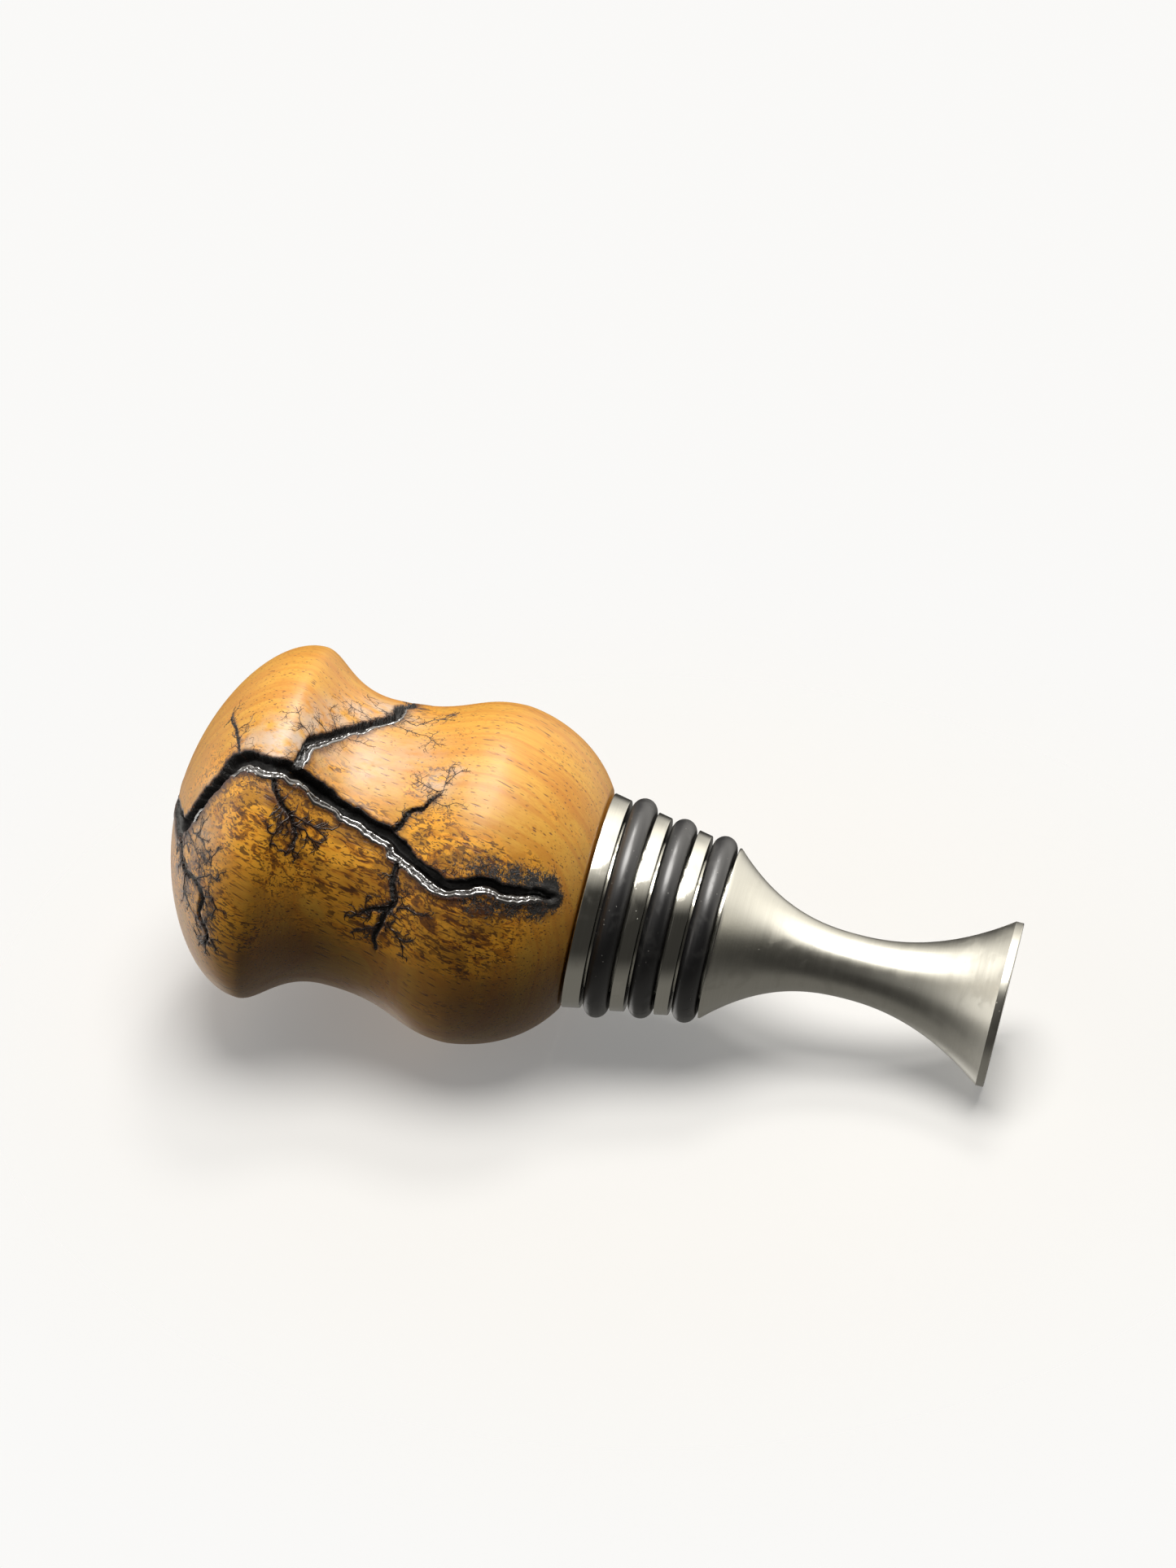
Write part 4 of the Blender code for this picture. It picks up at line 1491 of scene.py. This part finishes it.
@dataclass
class Knob:
    """The turned wooden knob with its burn."""

    outline: KnobOutline = field(default_factory=KnobOutline)
    row_spacing: float = 0.212
    column_steps: tuple[Triple, ...] = (
        (-76.0, -24.0, 0.8), (-24.0, 23.0, 0.42), (23.0, 72.0, 0.62), (72.0, 112.0, 0.8),
        (112.0, 283.5, 3.0))
    hole_radius: float = 5.05
    hole_end: float = 51.8
    drill_point: float = 118.0
    growth_seed: int = 7
    vein_sink: float = 0.45
    bead_sink: float = 0.58
    vein_sides: int = 5
    bead_sides: int = 12
    base_fade: float = 0.8
    top_gap: float = 0.12
    char_from: float = 0.58
    sharp_from: float = 62.0
    beads: tuple[tuple, ...] = (
        (TRUNK, 0.445, 0.985, (1.0, 0.06), 0.24), (TRUNK, 0.46, 0.97, (0.58, 0.0), 0.21),
        (TRUNK, 0.88, 0.975, (0.8, 0.0), 0.32),
        (TRUNK, 0.35, 0.385, (1.0, 0.1), 0.42),
        (LIMB, 0.05, 0.7, (1.0, 0.02), 0.19), (LIMB, 0.1, 0.6, (0.45, 0.0), 0.15))
    grower: "VeinGrower | None" = None

    def build(self) -> Object:
        """Make the knob's mesh.

        Returns:
            The knob, at the origin.
        """
        burn = Burn(self.outline)
        self.grower = VeinGrower(self.outline, burn, self.growth_seed)
        self.grower.grow_all()
        stations, turns = self.rows(), self.columns()
        grid_s, grid_t = np.meshgrid(stations, turns, indexing="ij")
        places, normals = self.outline.surface(grid_s.ravel(), grid_t.ravel())
        relief, layers = burn.read(places)
        layers["soot"] = self.grower.soot(places)
        edge = np.clip(self.distance_from_base(grid_s.ravel()) / self.base_fade, 0.0, 1.0)
        places = places + normals * (relief * edge)[:, None]
        points = self.hole(turns, places)
        columns = len(turns)
        rows = len(points) // columns
        faces = self.quads(rows, columns)
        top, drilled = len(points), len(points) + 1
        points = np.concatenate((points, ((0.0, 0.0, self.outline.at(np.array([4.0]))[0][0, 1]),
                                          (0.0, 0.0, self.drilled_to()))))
        last = (rows - 1) * columns
        for k in range(columns):
            after = (k + 1) % columns
            faces.append((last + k, last + after, top))
            faces.append((after, k, drilled))
        mesh = bpy.data.meshes.new("knob")
        mesh.from_pydata((points * MM).tolist(), [], faces)
        hidden = len(points) - len(places) - 2
        for name, values in layers.items():
            data = np.concatenate((np.zeros(hidden), values, (0.0, 0.0))).astype(np.float32)
            mesh.attributes.new(name, "FLOAT", "POINT").data.foreach_set("value", data)
        mesh.shade_smooth()
        mesh.set_sharp_from_angle(angle=math.radians(self.sharp_from))
        return placed("knob", mesh)

    def rows(self) -> Array:
        """Space the rows evenly up the outline.

        Returns:
            The rows' stations, without the top itself.
        """
        stations, lengths = self.outline.lengths()
        count = int(lengths[-1] / self.row_spacing)
        return np.interp(np.linspace(0.0, lengths[-1] - self.top_gap, count), lengths, stations)

    def columns(self) -> Array:
        """Turns of the columns, close together where the burn is."""
        parts = [np.arange(low, high, step) for low, high, step in self.column_steps]
        return np.concatenate(parts)

    def distance_from_base(self, stations: Array) -> Array:
        """Length of the outline from its base edge to each station."""
        known, lengths = self.outline.lengths()
        return np.interp(stations, known, lengths)

    def drilled_to(self) -> float:
        """Height of the drilled hole's point."""
        return self.hole_end + self.hole_radius / math.tan(math.radians(self.drill_point / 2.0))

    def hole(self, turns: Array, places: Array) -> Array:
        """Put the hole's two rings before the rows of the outside.

        Args:
            turns: turns of the columns.
            places: points of the outside, row by row.

        Returns:
            All points, row by row from the end of the hole.
        """
        angle = np.radians(turns)
        spin = np.stack((np.sin(angle), -np.cos(angle)), axis=1) * self.hole_radius
        rings = [np.column_stack((spin, np.full(len(turns), height)))
                 for height in (self.hole_end, self.outline.base_height)]
        return np.concatenate(rings + [places])

    def quads(self, rows: int, columns: int) -> list[tuple[int, ...]]:
        """Faces between neighbouring rows, all the way round."""
        return [(row * columns + k, row * columns + (k + 1) % columns,
                 (row + 1) * columns + (k + 1) % columns, (row + 1) * columns + k)
                for row in range(rows - 1) for k in range(columns)]

    def build_veins(self, material: Material) -> Object:
        """Sweep the fine veins as thin ridges of char, all in one piece."""
        source = self.grower.mesh("vein_lines", self.vein_sink)
        return self.sweep("burn_veins", source, material, self.vein_sides)

    def build_beads(self, material: Material) -> Object:
        """Run beads of lacquer along the lower lips of the two large channels.

        Args:
            material: the beads' finish.

        Returns:
            The beads, as one piece.
        """
        lines = []
        for channel, low, high, gap, radius in self.beads:
            line = channel.sample(self.outline)
            part = slice(int(low * len(line["half"])), int(high * len(line["half"])))
            out = gap[0] * line["half"][part] + gap[1]
            key = line["places"][part] + 40.0 * radius
            out = out + 0.08 * value_noise(key, 1.2, 71)
            stations, turns = self.outline.nearest(
                line["places"][part] - line["sideways"][part] * out[:, None])
            swell = 1.0 + 0.35 * value_noise(key, 1.8, 75) + 0.08 * value_noise(key, 0.6, 77)
            ends = np.minimum(np.arange(len(out)), np.arange(len(out))[::-1])
            ends = ends * POINT_SPACING
            radii = radius * np.clip(swell, 0.25, 1.6) * np.clip(ends / 0.6, 0.15, 1.0)
            lines.append((stations, turns, radii))
        source = lay_lines("bead_lines", self.outline, self.grower.burn, lines, self.bead_sink)
        return self.sweep("lacquer_beads", source, material, self.bead_sides)

    def sweep(self, name: str, source: Mesh, material: Material, sides: int) -> Object:
        """Sweep a round section along lines of varying thickness.

        Args:
            name: the piece's name.
            source: the lines.
            material: the piece's finish.
            sides: sides of the section.

        Returns:
            The swept piece.
        """
        forge = NodeForge("swept " + name, Sides=5)
        thick = forge.bench.node("GeometryNodeInputNamedAttribute", {"data_type": "FLOAT"},
                                 Name="thickness")
        forge.close(forge.swept(forge.curve(), forge.circle(1.0, "Sides"), Fill_Caps=True,
                                Scale=thick.outputs[0]))
        return forge.make(name, source, Material=material, Sides=sides)

    def dress(self, knob: Object, wood: Material, char: Material) -> None:
        """Give the knob its finish, and its channels theirs.

        Args:
            knob: the knob.
            wood: finish of the wood.
            char: finish inside the channels.
        """
        knob.data.materials.append(wood)
        knob.data.materials.append(char)
        groove = np.zeros(len(knob.data.vertices), np.float32)
        knob.data.attributes["groove"].data.foreach_get("value", groove)
        for face in knob.data.polygons:
            if all(groove[corner] > self.char_from for corner in face.vertices):
                face.material_index = 1


@dataclass
class SteelBody:
    """The turned plug and tail, in millimetres, as the CAD body has them."""

    foot_radius: float = 8.2
    foot_land: float = 0.8
    waist_radius: float = 3.2
    waist_height: float = 15.1
    tail_length: float = 28.35
    foot_flare: float = 2.1
    shoulder_flare: float = 2.4
    plug_length: float = 13.35
    plug_radii: Pair = (8.5, 10.75)
    ring_radii: Triple = (11.0, 10.0, 9.35)
    ring_thickness: float = 2.4
    ring_clearance: float = 0.25
    collar_to_ring: float = 3.2
    ring_pitch: float = 4.25
    edge: float = 0.12
    hole_radius: float = 5.05
    stud_in_plug: float = 9.5
    stud_clearance: float = 0.3
    drill_point: float = 118.0
    flare_steps: int = 56
    turning_radius: float = 10.0
    steps_round: int = 176
    ring_steps: tuple[int, int] = (180, 36)
    merging: float = 0.002
    foot_face: float = 0.1
    sharp_from: float = 32.0

    @property
    def plug_top(self) -> float:
        """Height of the collar's face."""
        return self.tail_length + self.plug_length

    def cone(self, height: float) -> float:
        """Radius of the plug's cone at a height."""
        low, high = self.plug_radii
        return low + (high - low) * (height - self.tail_length) / self.plug_length

    def seats(self) -> list[tuple[str, float, float]]:
        """Name, outer radius and height of each ring, from the top down."""
        first = self.plug_top - self.collar_to_ring
        return [(name, radius, first - index * self.ring_pitch) for index, (name, radius)
                in enumerate(zip(("upper", "middle", "lower"), self.ring_radii))]

    def flare(self, radius: float, height: float, power: float) -> list[Pair]:
        """Curve of the tail from its waist out to one end.

        Args:
            radius: radius at the end.
            height: height of the end.
            power: how late the curve opens.

        Returns:
            Points as (radius, height), without the waist itself.
        """
        shares = np.arange(1, self.flare_steps + 1) / self.flare_steps
        radii = self.waist_radius + (radius - self.waist_radius) * shares ** power
        heights = self.waist_height + (height - self.waist_height) * shares
        return list(zip(radii.tolist(), heights.tolist()))

    def profile(self) -> list[Pair]:
        """Draw the whole section, from the drilled hole over the plug down to the foot.

        Returns:
            Points as (radius, height).
        """
        hole_end = self.plug_top - self.stud_in_plug - self.stud_clearance
        point = hole_end - self.hole_radius / math.tan(math.radians(self.drill_point / 2.0))
        points = [(0.0, point), (self.hole_radius, hole_end), (self.hole_radius, self.plug_top)]
        points += self.corner((self.plug_radii[1], self.plug_top), (-1.0, 0.0), (0.0, -1.0))
        half = self.ring_thickness / 2.0 + self.ring_clearance
        for _, radius, height in self.seats():
            floor = radius - self.ring_thickness - self.ring_clearance
            above, below = height + half, height - half
            points += self.corner((self.cone(above), above), (0.0, 1.0), (-1.0, 0.0))
            points += [(floor, above), (floor, below)]
            points += self.corner((self.cone(below), below), (-1.0, 0.0), (0.0, -1.0), 0.06)
        points += self.flare(self.plug_radii[0], self.tail_length, self.shoulder_flare)[::-1]
        points.append((self.waist_radius, self.waist_height))
        points += self.flare(self.foot_radius, self.foot_land, self.foot_flare)
        points += self.corner((self.foot_radius, 0.0), (0.0, 1.0), (-1.0, 0.0))
        return points + [(0.0, 0.0)]

    def corner(self, at: Pair, back: Pair, ahead: Pair, size: float | None = None) -> list[Pair]:
        """Round one corner of the section.

        Args:
            at: the sharp corner.
            back: direction that the section comes from.
            ahead: direction that it goes on in.
            size: how much is rounded off, in millimetres.

        Returns:
            Points as (radius, height).
        """
        size = size or self.edge
        start = np.array(at) + size * np.array(back)
        end = np.array(at) + size * np.array(ahead)
        return [tuple((1 - t) ** 2 * start + 2 * t * (1 - t) * np.array(at) + t * t * end)
                for t in (0.0, 0.25, 0.5, 0.75, 1.0)]

    def build(self, satin: Material, polished: Material) -> Object:
        """Turn the body from its section.

        Args:
            satin: finish of the tail.
            polished: finish of the plug.

        Returns:
            The body, at the origin.
        """
        forge = NodeForge("turned section", Turning_Radius=0.01, Steps=32)
        turned = forge.swept(forge.circle(forge.given["Turning Radius"], "Steps"), forge.curve())
        forge.close(forge.bench.node("GeometryNodeMergeByDistance", Geometry=turned.outputs[0],
                                     Distance=self.merging * MM))
        points = [((radius - self.turning_radius) * MM, -height * MM, 0.0)
                  for radius, height in self.profile()]
        mesh = bpy.data.meshes.new("section")
        mesh.from_pydata(points, [(k, k + 1) for k in range(len(points) - 1)], [])
        body = forge.make("steel_body", mesh, Material=satin, Steps=self.steps_round,
                          Turning_Radius=self.turning_radius * MM)
        body.data.materials.append(polished)
        for face in body.data.polygons:
            if not self.foot_face * MM <= face.center.z <= self.tail_length * MM:
                face.material_index = 1
        body.data.set_sharp_from_angle(angle=math.radians(self.sharp_from))
        return body

    def build_rings(self, material: Material) -> list[Object]:
        """Sweep the three rings.

        Args:
            material: their finish.

        Returns:
            The rings, from the top down.
        """
        forge = NodeForge("rubber ring", Ring_Radius=0.01, Cord_Radius=0.001, Height=0.0,
                          Round=32, Across=12)
        given = forge.given
        swept = forge.swept(forge.circle(given["Ring Radius"], "Round"),
                            forge.circle(given["Cord Radius"], "Across"))
        lift = forge.bench.combine(0.0, 0.0, given["Height"])
        forge.close(forge.bench.node("GeometryNodeTransform", Geometry=swept.outputs[0],
                                     Translation=lift))
        thick = self.ring_thickness / 2.0
        return [forge.make("ring_" + name, bpy.data.meshes.new("blank"), Material=material,
                           Ring_Radius=(radius - thick) * MM, Cord_Radius=thick * MM,
                           Height=height * MM, Round=self.ring_steps[0],
                           Across=self.ring_steps[1]) for name, radius, height in self.seats()]


@dataclass
class Stud:
    """The hidden stud with its thread, in millimetres."""

    radius: float = 4.75
    length: float = 19.3
    bottom: float = 32.2
    chamfer: float = 0.8
    pitch: float = 1.25
    thread_depth: float = 0.7
    steps_round: int = 48
    steps_along: int = 150
    sharp_from: float = 40.0

    def build(self, material: Material) -> Object:
        """Wind a thread into a rod.

        Args:
            material: the stud's finish.

        Returns:
            The stud, at the origin.
        """
        forge = NodeForge("threaded rod", Radius=0.005, Length=0.02, Bottom=0.0, Pitch=0.001,
                          Depth=0.0005, Chamfer=0.001, Steps=32, Rows=64)
        bench, given = forge.bench, forge.given
        rod = bench.node("GeometryNodeMeshCylinder", Vertices=given["Steps"],
                         Side_Segments=given["Rows"], Radius=given["Radius"],
                         Depth=given["Length"])
        x, y, z = bench.parts(bench.node("GeometryNodeInputPosition").outputs[0])
        wound = bench.minus(bench.math("DIVIDE", z, given["Pitch"]),
                            bench.math("DIVIDE", bench.math("ARCTAN2", y, x), 2.0 * math.pi))
        wave = bench.times(bench.math("PINGPONG", wound, 0.5), 2.0)
        end = bench.minus(bench.times(given["Length"], 0.5), bench.math("ABSOLUTE", z))
        bevel = bench.math("MAXIMUM", bench.minus(given["Chamfer"], end), 0.0)
        shrink = bench.math("MAXIMUM", bench.times(wave, given["Depth"]), bevel)
        across = bench.combine(x, y, 0.0)
        size = bench.math("MAXIMUM", bench.vector("LENGTH", across), 0.0001)
        outside = bench.math("GREATER_THAN", size, 0.002)
        share = bench.times(bench.times(bench.math("DIVIDE", shrink, size), outside), -1.0)
        inward = bench.vector("MULTIPLY", across, bench.combine(share, share, share))
        lift = bench.onto(given["Bottom"], given["Length"], 0.5)
        moved = bench.node("GeometryNodeSetPosition", Geometry=rod.outputs[0],
                           Offset=bench.vector("ADD", inward, bench.combine(0.0, 0.0, lift)))
        forge.close(moved)
        stud = forge.make("stud", bpy.data.meshes.new("blank"), Material=material,
                          Radius=self.radius * MM, Length=self.length * MM,
                          Bottom=self.bottom * MM, Pitch=self.pitch * MM,
                          Depth=self.thread_depth * MM, Chamfer=self.chamfer * MM,
                          Steps=self.steps_round, Rows=self.steps_along)
        stud.data.set_sharp_from_angle(angle=math.radians(self.sharp_from))
        return stud


@dataclass
class Studio:
    """Pale floor, soft lights and the camera."""

    table_up: Triple = (0.7994, -0.5773, 0.1670)
    touching: Triple = (-6.65, 4.80, 0.0)
    board_middle: Triple = (-9.5, 6.9, 34.0)
    camera_at: Triple = (0.0, -690.6, -1.8)
    camera_aim: Triple = (10.95, 0.0, 44.55)
    camera_up: Triple = (0.9692, 0.0, 0.2464)
    lens: float = 162.8
    sensor: float = 36.0
    clipping: Pair = (0.01, 20.0)
    lamps_aim: Triple = (0.0, 0.0, 42.0)
    lamp_tone: Triple = (1.0, 0.975, 0.94)
    surround_tone: Triple = (1.0, 0.965, 0.90)
    backdrop_tone: Triple = (1.0, 0.993, 0.978)
    backdrop: float = 0.955
    floor_glow: float = 1.40
    mottling: float = 0.985
    steep: float = 0.9
    pale: Triple = (0.86, 0.855, 0.84)
    light_way: Triple = (0.79, -0.60, 0.13)
    glow_way: Triple = (0.927, -0.355, 0.13)

    def build(self) -> None:
        """Set up everything round the stopper."""
        self.build_camera()
        self.build_world()
        self.build_floor("standing_floor", (0.0, 0.0, 1.0), (0.0, 0.0, -0.02),
                         (0.0, 0.0, -0.02), (110.0, 330.0), 0.46, 1.12)
        self.build_floor("lying_board", self.table_up, self.touching, self.board_middle,
                         (30.0, 92.0), 0.25, 0.79)
        for lamp in (("key", self.light_way, 1300.0, 900.0, 20.5),
                     ("spark", (0.985, -0.10, 0.10), 1300.0, 300.0, 4.2),
                     ("front", (-0.15, -0.90, 0.42), 1500.0, 900.0, 0.35),
                     ("overhead", (-0.10, -0.20, 0.97), 1400.0, 800.0, 3.4),
                     ("behind", (-0.28, 0.84, 0.46), 1400.0, 900.0, 1.6),
                     ("canopy", (-0.25, 0.46, 0.85), 1400.0, 1300.0, 3.2)):
            self.build_light(*lamp)

    def build_camera(self) -> None:
        """Place the camera at the photograph's viewing angle."""
        data = bpy.data.cameras.new("camera")
        data.lens = self.lens
        data.sensor_width = self.sensor
        data.clip_start, data.clip_end = self.clipping
        camera = placed("camera", data)
        place = Vector(self.camera_at) * MM
        back = (place - Vector(self.camera_aim) * MM).normalized()
        right = Vector(self.camera_up).cross(back).normalized()
        up = back.cross(right)
        camera.matrix_world = Matrix.Translation(place) @ Matrix(
            (right, up, back)).transposed().to_4x4()
        bpy.context.scene.camera = camera

    def build_world(self) -> None:
        """White background with a soft surround that the pieces reflect."""
        world = bpy.data.worlds.new("studio")
        bpy.context.scene.world = world
        world.use_nodes = True
        bench = Bench(world.node_tree)
        ground = world.node_tree.nodes["Background"]
        way = bench.node("ShaderNodeTexCoord").outputs["Generated"]
        toward = bench.vector("DOT_PRODUCT", way, Vector(self.glow_way).normalized()[:])
        rise = bench.vector("DOT_PRODUCT", way, self.table_up)
        away = bench.vector("DOT_PRODUCT", way, (0.038, 0.9967, 0.072))
        glow = bench.times(bench.step(toward, 0.45, 0.95), 0.9)
        bounce = bench.times(bench.step(rise, -0.35, -0.80), 0.15)
        sides = bench.plus(*[bench.times(bench.step(bench.vector(
            "DOT_PRODUCT", way, Vector(lobe).normalized()[:]), 0.45, 0.92), level)
            for lobe, level in (((0.72, 0.25, -0.62), 1.1), ((0.35, 0.05, 0.93), 0.6))])
        level = bench.step(bench.math("ABSOLUTE", bench.minus(rise, 0.05)), 0.22, 0.04)
        strip = bench.times(bench.times(level, 0.10), bench.step(away, 0.1, 0.6))
        surround = bench.plus(bench.plus(glow, bounce),
                              bench.plus(bench.plus(strip, sides), 0.045))
        seen = bench.node("ShaderNodeLightPath").outputs
        strength = bench.between(seen["Is Glossy Ray"], bench.onto(0.012, surround, 0.11),
                                 surround)
        bright = bench.math("MAXIMUM", seen["Is Camera Ray"], seen["Is Transmission Ray"])
        bench.fill(ground, Color=bench.blend(bright, self.surround_tone, self.backdrop_tone),
                   Strength=bench.between(bright, strength, self.backdrop))

    def build_floor(self, name: str, normal: Triple, through: Triple, middle: Triple, fade: Pair,
                    glow: float, paleness: float) -> None:
        """Lay one plain floor that only the camera sees and that fades out round its middle.

        Args:
            name: its name.
            normal: the way that it faces.
            through: a point that it passes through, in millimetres.
            middle: the middle of the fade, in millimetres.
            fade: distances at which the fade starts and ends, in millimetres.
            glow: share of its paleness that needs no lamp.
            paleness: factor on its colour.
        """
        facing = Vector(normal).normalized()
        aside = facing.orthogonal().normalized()
        other = facing.cross(aside)
        level = Vector(middle) - facing * facing.dot(Vector(middle) - Vector(through))
        corners = [(level + (aside * a + other * b) * fade[1] * 1.05) * MM
                   for a, b in ((-1, -1), (1, -1), (1, 1), (-1, 1))]
        mesh = bpy.data.meshes.new(name)
        mesh.from_pydata([corner[:] for corner in corners], [], [(0, 1, 2, 3)])
        floor = placed(name, mesh)
        material, bench, shader, place = new_material(name, self.pale)
        tone = tuple(paleness * value for value in self.pale)
        mottled = bench.blend(bench.noise(place, 0.05, 2.0), tone,
                              tuple(self.mottling * value for value in tone))
        bench.fill(shader, Base_Color=mottled, Roughness=0.9, Specular_IOR_Level=0.1)
        lit = bench.node("ShaderNodeEmission", Color=tone, Strength=self.floor_glow)
        away = bench.vector("DISTANCE", place, level[:])
        hidden = bench.math("MAXIMUM", bench.step(away, *fade),
                            bench.node("ShaderNodeNewGeometry").outputs["Backfacing"])
        if normal[2] < self.steep:
            slant = bench.node("ShaderNodeLayerWeight", Blend=0.5).outputs["Facing"]
            hidden = bench.math("MAXIMUM", hidden, bench.step(slant, 0.36, 0.28))
        pale = bench.mixed(glow, shader.outputs[0], lit.outputs[0])
        clear = bench.node("ShaderNodeBsdfTransparent").outputs[0]
        bench.feed(material.node_tree.nodes["Material Output"].inputs["Surface"],
                   bench.mixed(hidden, pale, clear))
        mesh.materials.append(material)
        for ray in ("diffuse", "glossy", "transmission", "shadow", "volume_scatter"):
            setattr(floor, "visible_" + ray, False)

    def build_light(self, name: str, way: Triple, distance: float, size: float,
                    power: float) -> None:
        """Hang one soft round lamp that faces the stopper.

        Args:
            name: its name.
            way: direction from the stopper to it.
            distance: how far away it hangs, in millimetres.
            size: diameter, in millimetres.
            power: its power in watts.
        """
        data = bpy.data.lights.new(name, "AREA")
        data.shape = "DISK"
        data.size = size * MM
        data.energy = power
        data.color = self.lamp_tone
        lamp = placed(name, data)
        direction = Vector(way).normalized()
        lamp.location = (Vector(self.lamps_aim) + direction * distance) * MM
        lamp.rotation_euler = direction.to_track_quat("Z", "Y").to_euler()


def main() -> None:
    """Build the stopper and its studio in order."""
    logging.basicConfig(level=logging.INFO, format="%(name)s: %(message)s")
    effects = Effects.build()
    knob = Knob()
    wood = knob.build()
    knob.dress(wood, LacqueredWood().material(effects), GlassyChar().material())
    hand_over(wood, Slot.WOOD, "wooden_knob")
    hand_over(knob.build_veins(CharredVeins().material()), Slot.WOOD, None)
    hand_over(knob.build_beads(PooledLacquer().material()), Slot.WOOD, None)
    steel = TurnedSteel()
    body = SteelBody()
    hand_over(body.build(
        steel.material(effects, "satin_steel", steel.satin, steel.brushing),
        steel.material(effects, "polished_steel", steel.polished, 0.0)),
        Slot.STEEL, "stopper_body")
    for ring in body.build_rings(BlackRubber().material(effects)):
        hand_over(ring, Slot.RUBBER, "o_" + ring.name)
    hand_over(Stud().build(PlatedZinc().material(effects)), Slot.ZINC, "threaded_stud")
    Studio().build()
    view = bpy.context.scene.view_settings
    view.view_transform = "Standard"
    bpy.context.view_layer.update()


if __name__ == "__main__":
    main()
